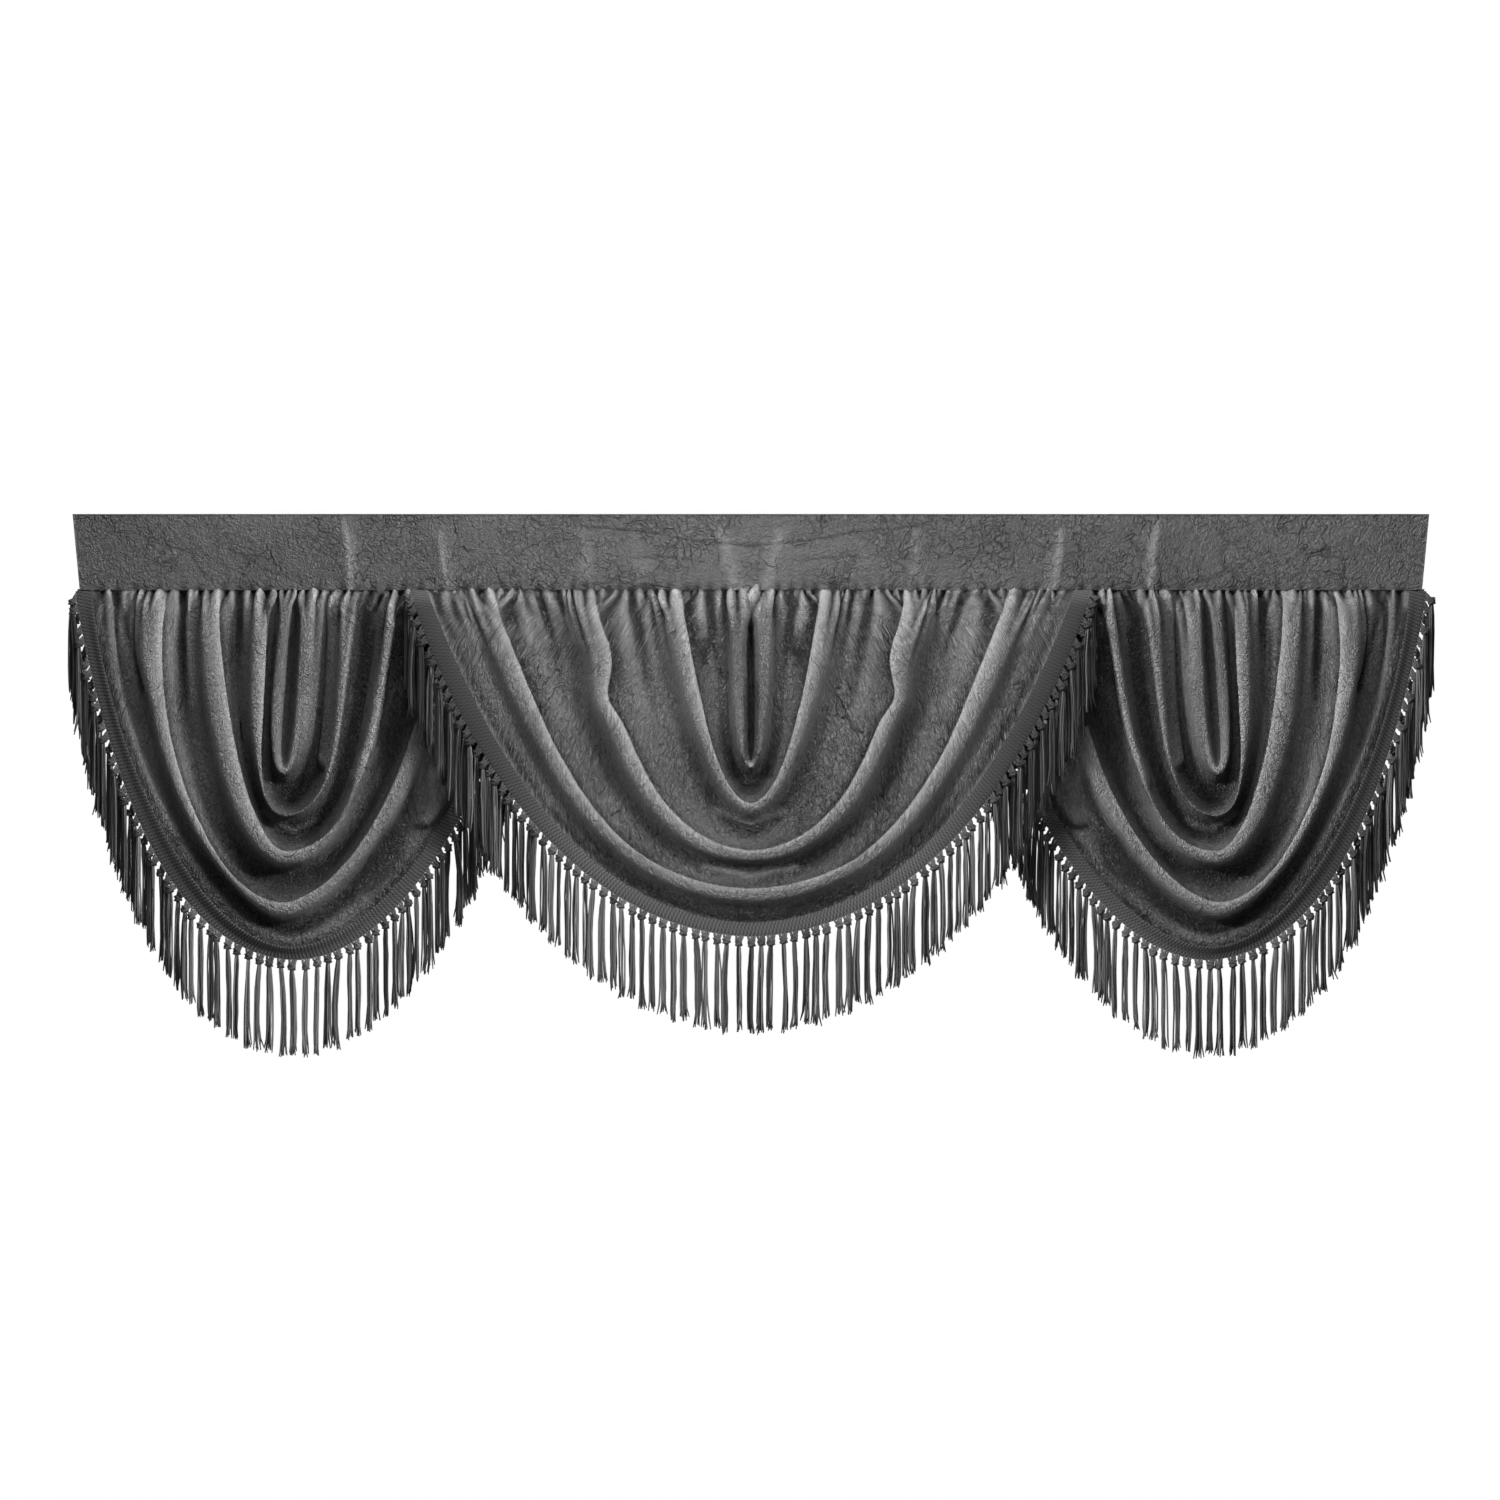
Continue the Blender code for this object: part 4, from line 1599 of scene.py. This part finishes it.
CENTRE_HALF = tuple(
    Line(name, limb, low, limb)
    for name, limb, low in (
        ("slit", Limb(0, 0, 60, 0, -14, 0.1, ROUND, DEEP), Low(0, -270, -14, 0.0, ROUND, DEEP)),
        ("pouch", Limb(-20, 6, 110, 20, 28, 0.5, BROAD, ROUND), Low(0, -285, 35, 0.7, BROAD, CRISP)),
        ("valley_1", Limb(-38, 18, 110, 40, 2, 0.22, BROAD, ROUND), Low(0, -306, 2, 0.0, BROAD, ROUND)),
        ("fold_2", Limb(-81, 20, 110, 40, 32, 0.7, LAPPED, SLOPE), Low(0, -325, 43, 0.6, CRISP, ROUND)),
        ("valley_2", Limb(-125, 30, 135, 55, 8, 0.28, ROUND, ROUND), Low(0, -354, 18, 0.12)),
        ("fold_3", Limb(-174, 15, 145, 110, 36, 0.7, LAPPED, SLOPE, PINCHED),
         Low(0, -378, 47, 0.55, CRISP, BROAD)),
        ("valley_3", Limb(-237, 55, 165, 155, 9, 0.28, ROUND, ROUND), Low(0, -400, 28, 0.12)),
        ("fold_4", Limb(-293, 65, 155, 185, 39, 0.7, LAPPED, SLOPE), Low(0, -420, 51, 0.6, CRISP, BROAD)),
        ("valley_4", Limb(-352, 75, 170, 195, 26, 0.44, ROUND, ROUND), Low(0, -448, 33, 0.2)),
        ("edge", Limb(-381, 60, 185, 195, 30, 0.35), Low(0, -471, 35, 0.35)),
    )
)

SIDE_TUCKS = (
    Tuck(-208, 4.0, 45), Tuck(-190, 4.5, 70), Tuck(-170, 4.0, 90), Tuck(-160, 3.0, 30),
    Tuck(-144, 3.0, 40), Tuck(-117, 6.0, 95, 3.6, -0.02), Tuck(-98, 3.5, 60, 5.0),
    Tuck(-71, 3.0, 45), Tuck(-53, 4.0, 60), Tuck(-40, 3.0, 40), Tuck(-22, 3.5, 50),
    Tuck(36, 4.0, 60), Tuck(62, 4.5, 45), Tuck(77, 4.5, 50),
    Tuck(97, 5.0, 45), Tuck(114, 4.5, 55), Tuck(131, 4.0, 35), Tuck(150, 4.0, 40),
)

CENTRE_TUCKS = (
    Tuck(-30, 3.0, 40), Tuck(-46, 4.5, 60), Tuck(-60, 4.5, 60), Tuck(-72, 3.0, 35),
    Tuck(-92, 4.0, 45), Tuck(-108, 4.5, 55), Tuck(-118, 4.0, 35), Tuck(-133, 5.0, 60),
    Tuck(-148, 3.0, 30), Tuck(-160, 4.0, 40), Tuck(-186, 3.0, 35), Tuck(-200, 4.5, 60),
    Tuck(-222, 4.0, 35), Tuck(-240, 5.0, 50), Tuck(-262, 4.0, 35), Tuck(-279, 5.0, 50),
    Tuck(-305, 4.0, 40), Tuck(-322, 4.5, 45), Tuck(-345, 4.0, 35),
)

# Route, width, rise, and painted light, which is painted shade where below 0
SIDE_CREASES = (
    Crease(((55, -60), (53, -142), (42, -290)), 4.5, 8.0, 0.3),
    Crease(((120, -183), (95, -261), (70, -310)), 6.0, 3.0, 0.2),
    Crease(((-196, -76), (-180, -130), (-160, -205)), 3.5, -4.0, -0.35),
    Crease(((-178, -70), (-163, -145), (-140, -230)), 8.0, 3.0, 0.08),
    Crease(((-30, -330), (5, -356), (40, -340)), 4.0, 2.5, 0.3),
    Crease(((-112, -58), (-110, -130), (-104, -225)), 4.5, 2.5, 0.25),
    Crease(((-120, -58), (-117, -130), (-112, -215)), 2.6, -2.0, -0.4),
    Crease(((158, -260), (160, -320), (150, -375)), 15.0, 5.0, 0.5),
    Crease(((190, -300), (177, -335), (160, -352), (138, -352)), 3.5, -4.0, -0.7),
    Crease(((120, -345), (112, -395), (80, -430)), 12.0, -3.0, -0.4),
)

# Route, width, rise, and painted light, which is painted shade where below 0
CENTRE_CREASES = (
    Crease(((-70, -76), (-60, -120), (-53, -170)), 3.0, -4.0, -0.6),
    Crease(((-36, -76), (-46, -125), (-53, -175)), 3.0, -4.0, -0.55),
    Crease(((0, -62), (0, -130)), 7.0, 9.0, 0.25),
    Crease(((-214, -100), (-201, -130), (-190, -160)), 7.0, 3.0, 0.2),
    Crease(((-326, -100), (-316, -127), (-300, -160)), 7.0, 3.0, 0.2),
    Crease(((45, -330), (0, -346), (-45, -330)), 4.5, 2.0, 0.2),
    Crease(((60, -395), (0, -408), (-60, -395)), 4.0, 2.0, 0.25),
    Crease(((-265, -66), (-258, -110), (-246, -155)), 5.0, 3.0, 0.3),
    Crease(((-252, -110), (-236, -170), (-205, -250)), 8.0, 2.5, 0.14),
    Crease(((-150, -66), (-141, -150), (-118, -235)), 7.0, 2.5, 0.16),
    Crease(((-138, -66), (-129, -150), (-106, -225)), 3.5, -2.0, -0.2),
    # painted shade down the slit, with no ridge or trough under it
    Crease(((0, -120), (0, -268)), 2.2, 0.0, -1.0),
    Crease(((0, -190), (0, -282)), 6.0, 0.0, -1.2),
    Crease(((-50, -66), (-56, -130)), 5.0, 2.0, 0.25),
)

# Route, width, rise, and painted light: painted highlights along the streaks, painted shade along the
# troughs
HEADING_CREASES = (
    Crease(((-459, -2), (-453, -40), (-449, -100)), 3.0, 1.2, 0.6),
    Crease(((-455, -10), (-450, -50), (-445, -105)), 6.0, 1.0, 0.35),
    Crease(((-350, -14), (-347, -50), (-341, -100)), 3.2, 1.2, 0.55),
    Crease(((-347, -30), (-342, -60), (-336, -110)), 6.0, 1.0, 0.4),
    Crease(((-190, -10), (-185, -45), (-186, -85)), 7.0, 1.0, 0.35),
    Crease(((-140, -40), (-122, -60), (-106, -85)), 8.0, 0.6, 0.2),
    Crease(((-38, -8), (-26, -46), (-14, -95)), 7.0, 0.9, 0.4),
    Crease(((-190, -14), (-120, -20), (-65, -30), (8, -37)), 1.4, -0.9, -0.3),
    Crease(((-140, -52), (-104, -47), (-85, -49), (-50, -54)), 1.3, -0.7, -0.22),
    Crease(((-593, -38), (-568, -48), (-543, -64), (-505, -78)), 1.4, -0.8, -0.22),
    Crease(((-676, -30), (-640, -42), (-610, -38), (-585, -20)), 1.3, -0.7, -0.18),
    Crease(((-640, -18), (-612, -50), (-566, -70)), 1.3, -0.6, -0.18),
    Crease(((-632, -40), (-618, -66), (-600, -80)), 3.0, -0.8, -0.15),
    Crease(((-538, -12), (-531, -50), (-527, -64)), 4.0, -0.7, -0.12),
)


def main() -> None:
    """Build the valance piece by piece, then the studio."""
    logging.basicConfig(level=logging.INFO, format="%(name)s: %(message)s")
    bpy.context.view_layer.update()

    heading_satin = Satin(
        "heading_satin", dark=0.02, light=0.31, roughness=0.46, gloss=0.5,
        grain=0.6, crush=0.35, crease_shade=0.2,
    )
    swag_satin = Satin(
        "swag_satin", dark=0.006, light=0.52, roughness=0.42, gloss=0.5,
        grain=0.95, crush=0.6, crease_shade=0.2,
    )
    yarn = Yarn("fringe_yarn", ground=0.02, bright=0.24, roughness=0.75)

    shifted = tuple(replace(tuck, seam=tuck.seam - SIDE_CENTRE) for tuck in SIDE_TUCKS)
    Heading(
        creases=whole_creases(HEADING_CREASES), puckers=whole_tucks(shifted + CENTRE_TUCKS)
    ).build(heading_satin)
    left = Swag(
        "swag_left", SIDE_LINES, -SIDE_CENTRE, -1.2, SIDE_TUCKS, SIDE_CREASES,
        flat=(1.15, 0.5), area=0.22, seed=21,
    )
    centre = Swag(
        "swag_centre", whole_lines(CENTRE_HALF), 0.0, 1.2, whole_tucks(CENTRE_TUCKS),
        whole_creases(CENTRE_CREASES), flat=(1.25, 0.5), area=0.27, seed=31,
        rests_on=("heading_band", "swag_left", "swag_right"), row_pitch=2.6,
    )
    right = left.mirrored("swag_right")
    side_lanes, centre_lanes = Lanes((0, 7, -7), (1, -6)), Lanes((6, 15), (6, 15))
    fringes = {
        "left": Fringe("fringe_left", left, -0.994, 0.9704, side_lanes, 41),
        "centre": Fringe(
            "fringe_centre", centre, -0.994, 0.994, centre_lanes, 43, braid_from=0.4, shaded=0.8
        ),
        "right": Fringe("fringe_right", right, -0.9704, 0.994, Lanes((1, -6), (0, 7, -7)), 47),
    }
    for swag, fringe in zip((left, centre, right), fringes.values()):
        piece = swag.build(swag_satin)
        trim = fringe.build(yarn)
        list(swag.rests_on)
    Studio().build()


if __name__ == "__main__":
    main()
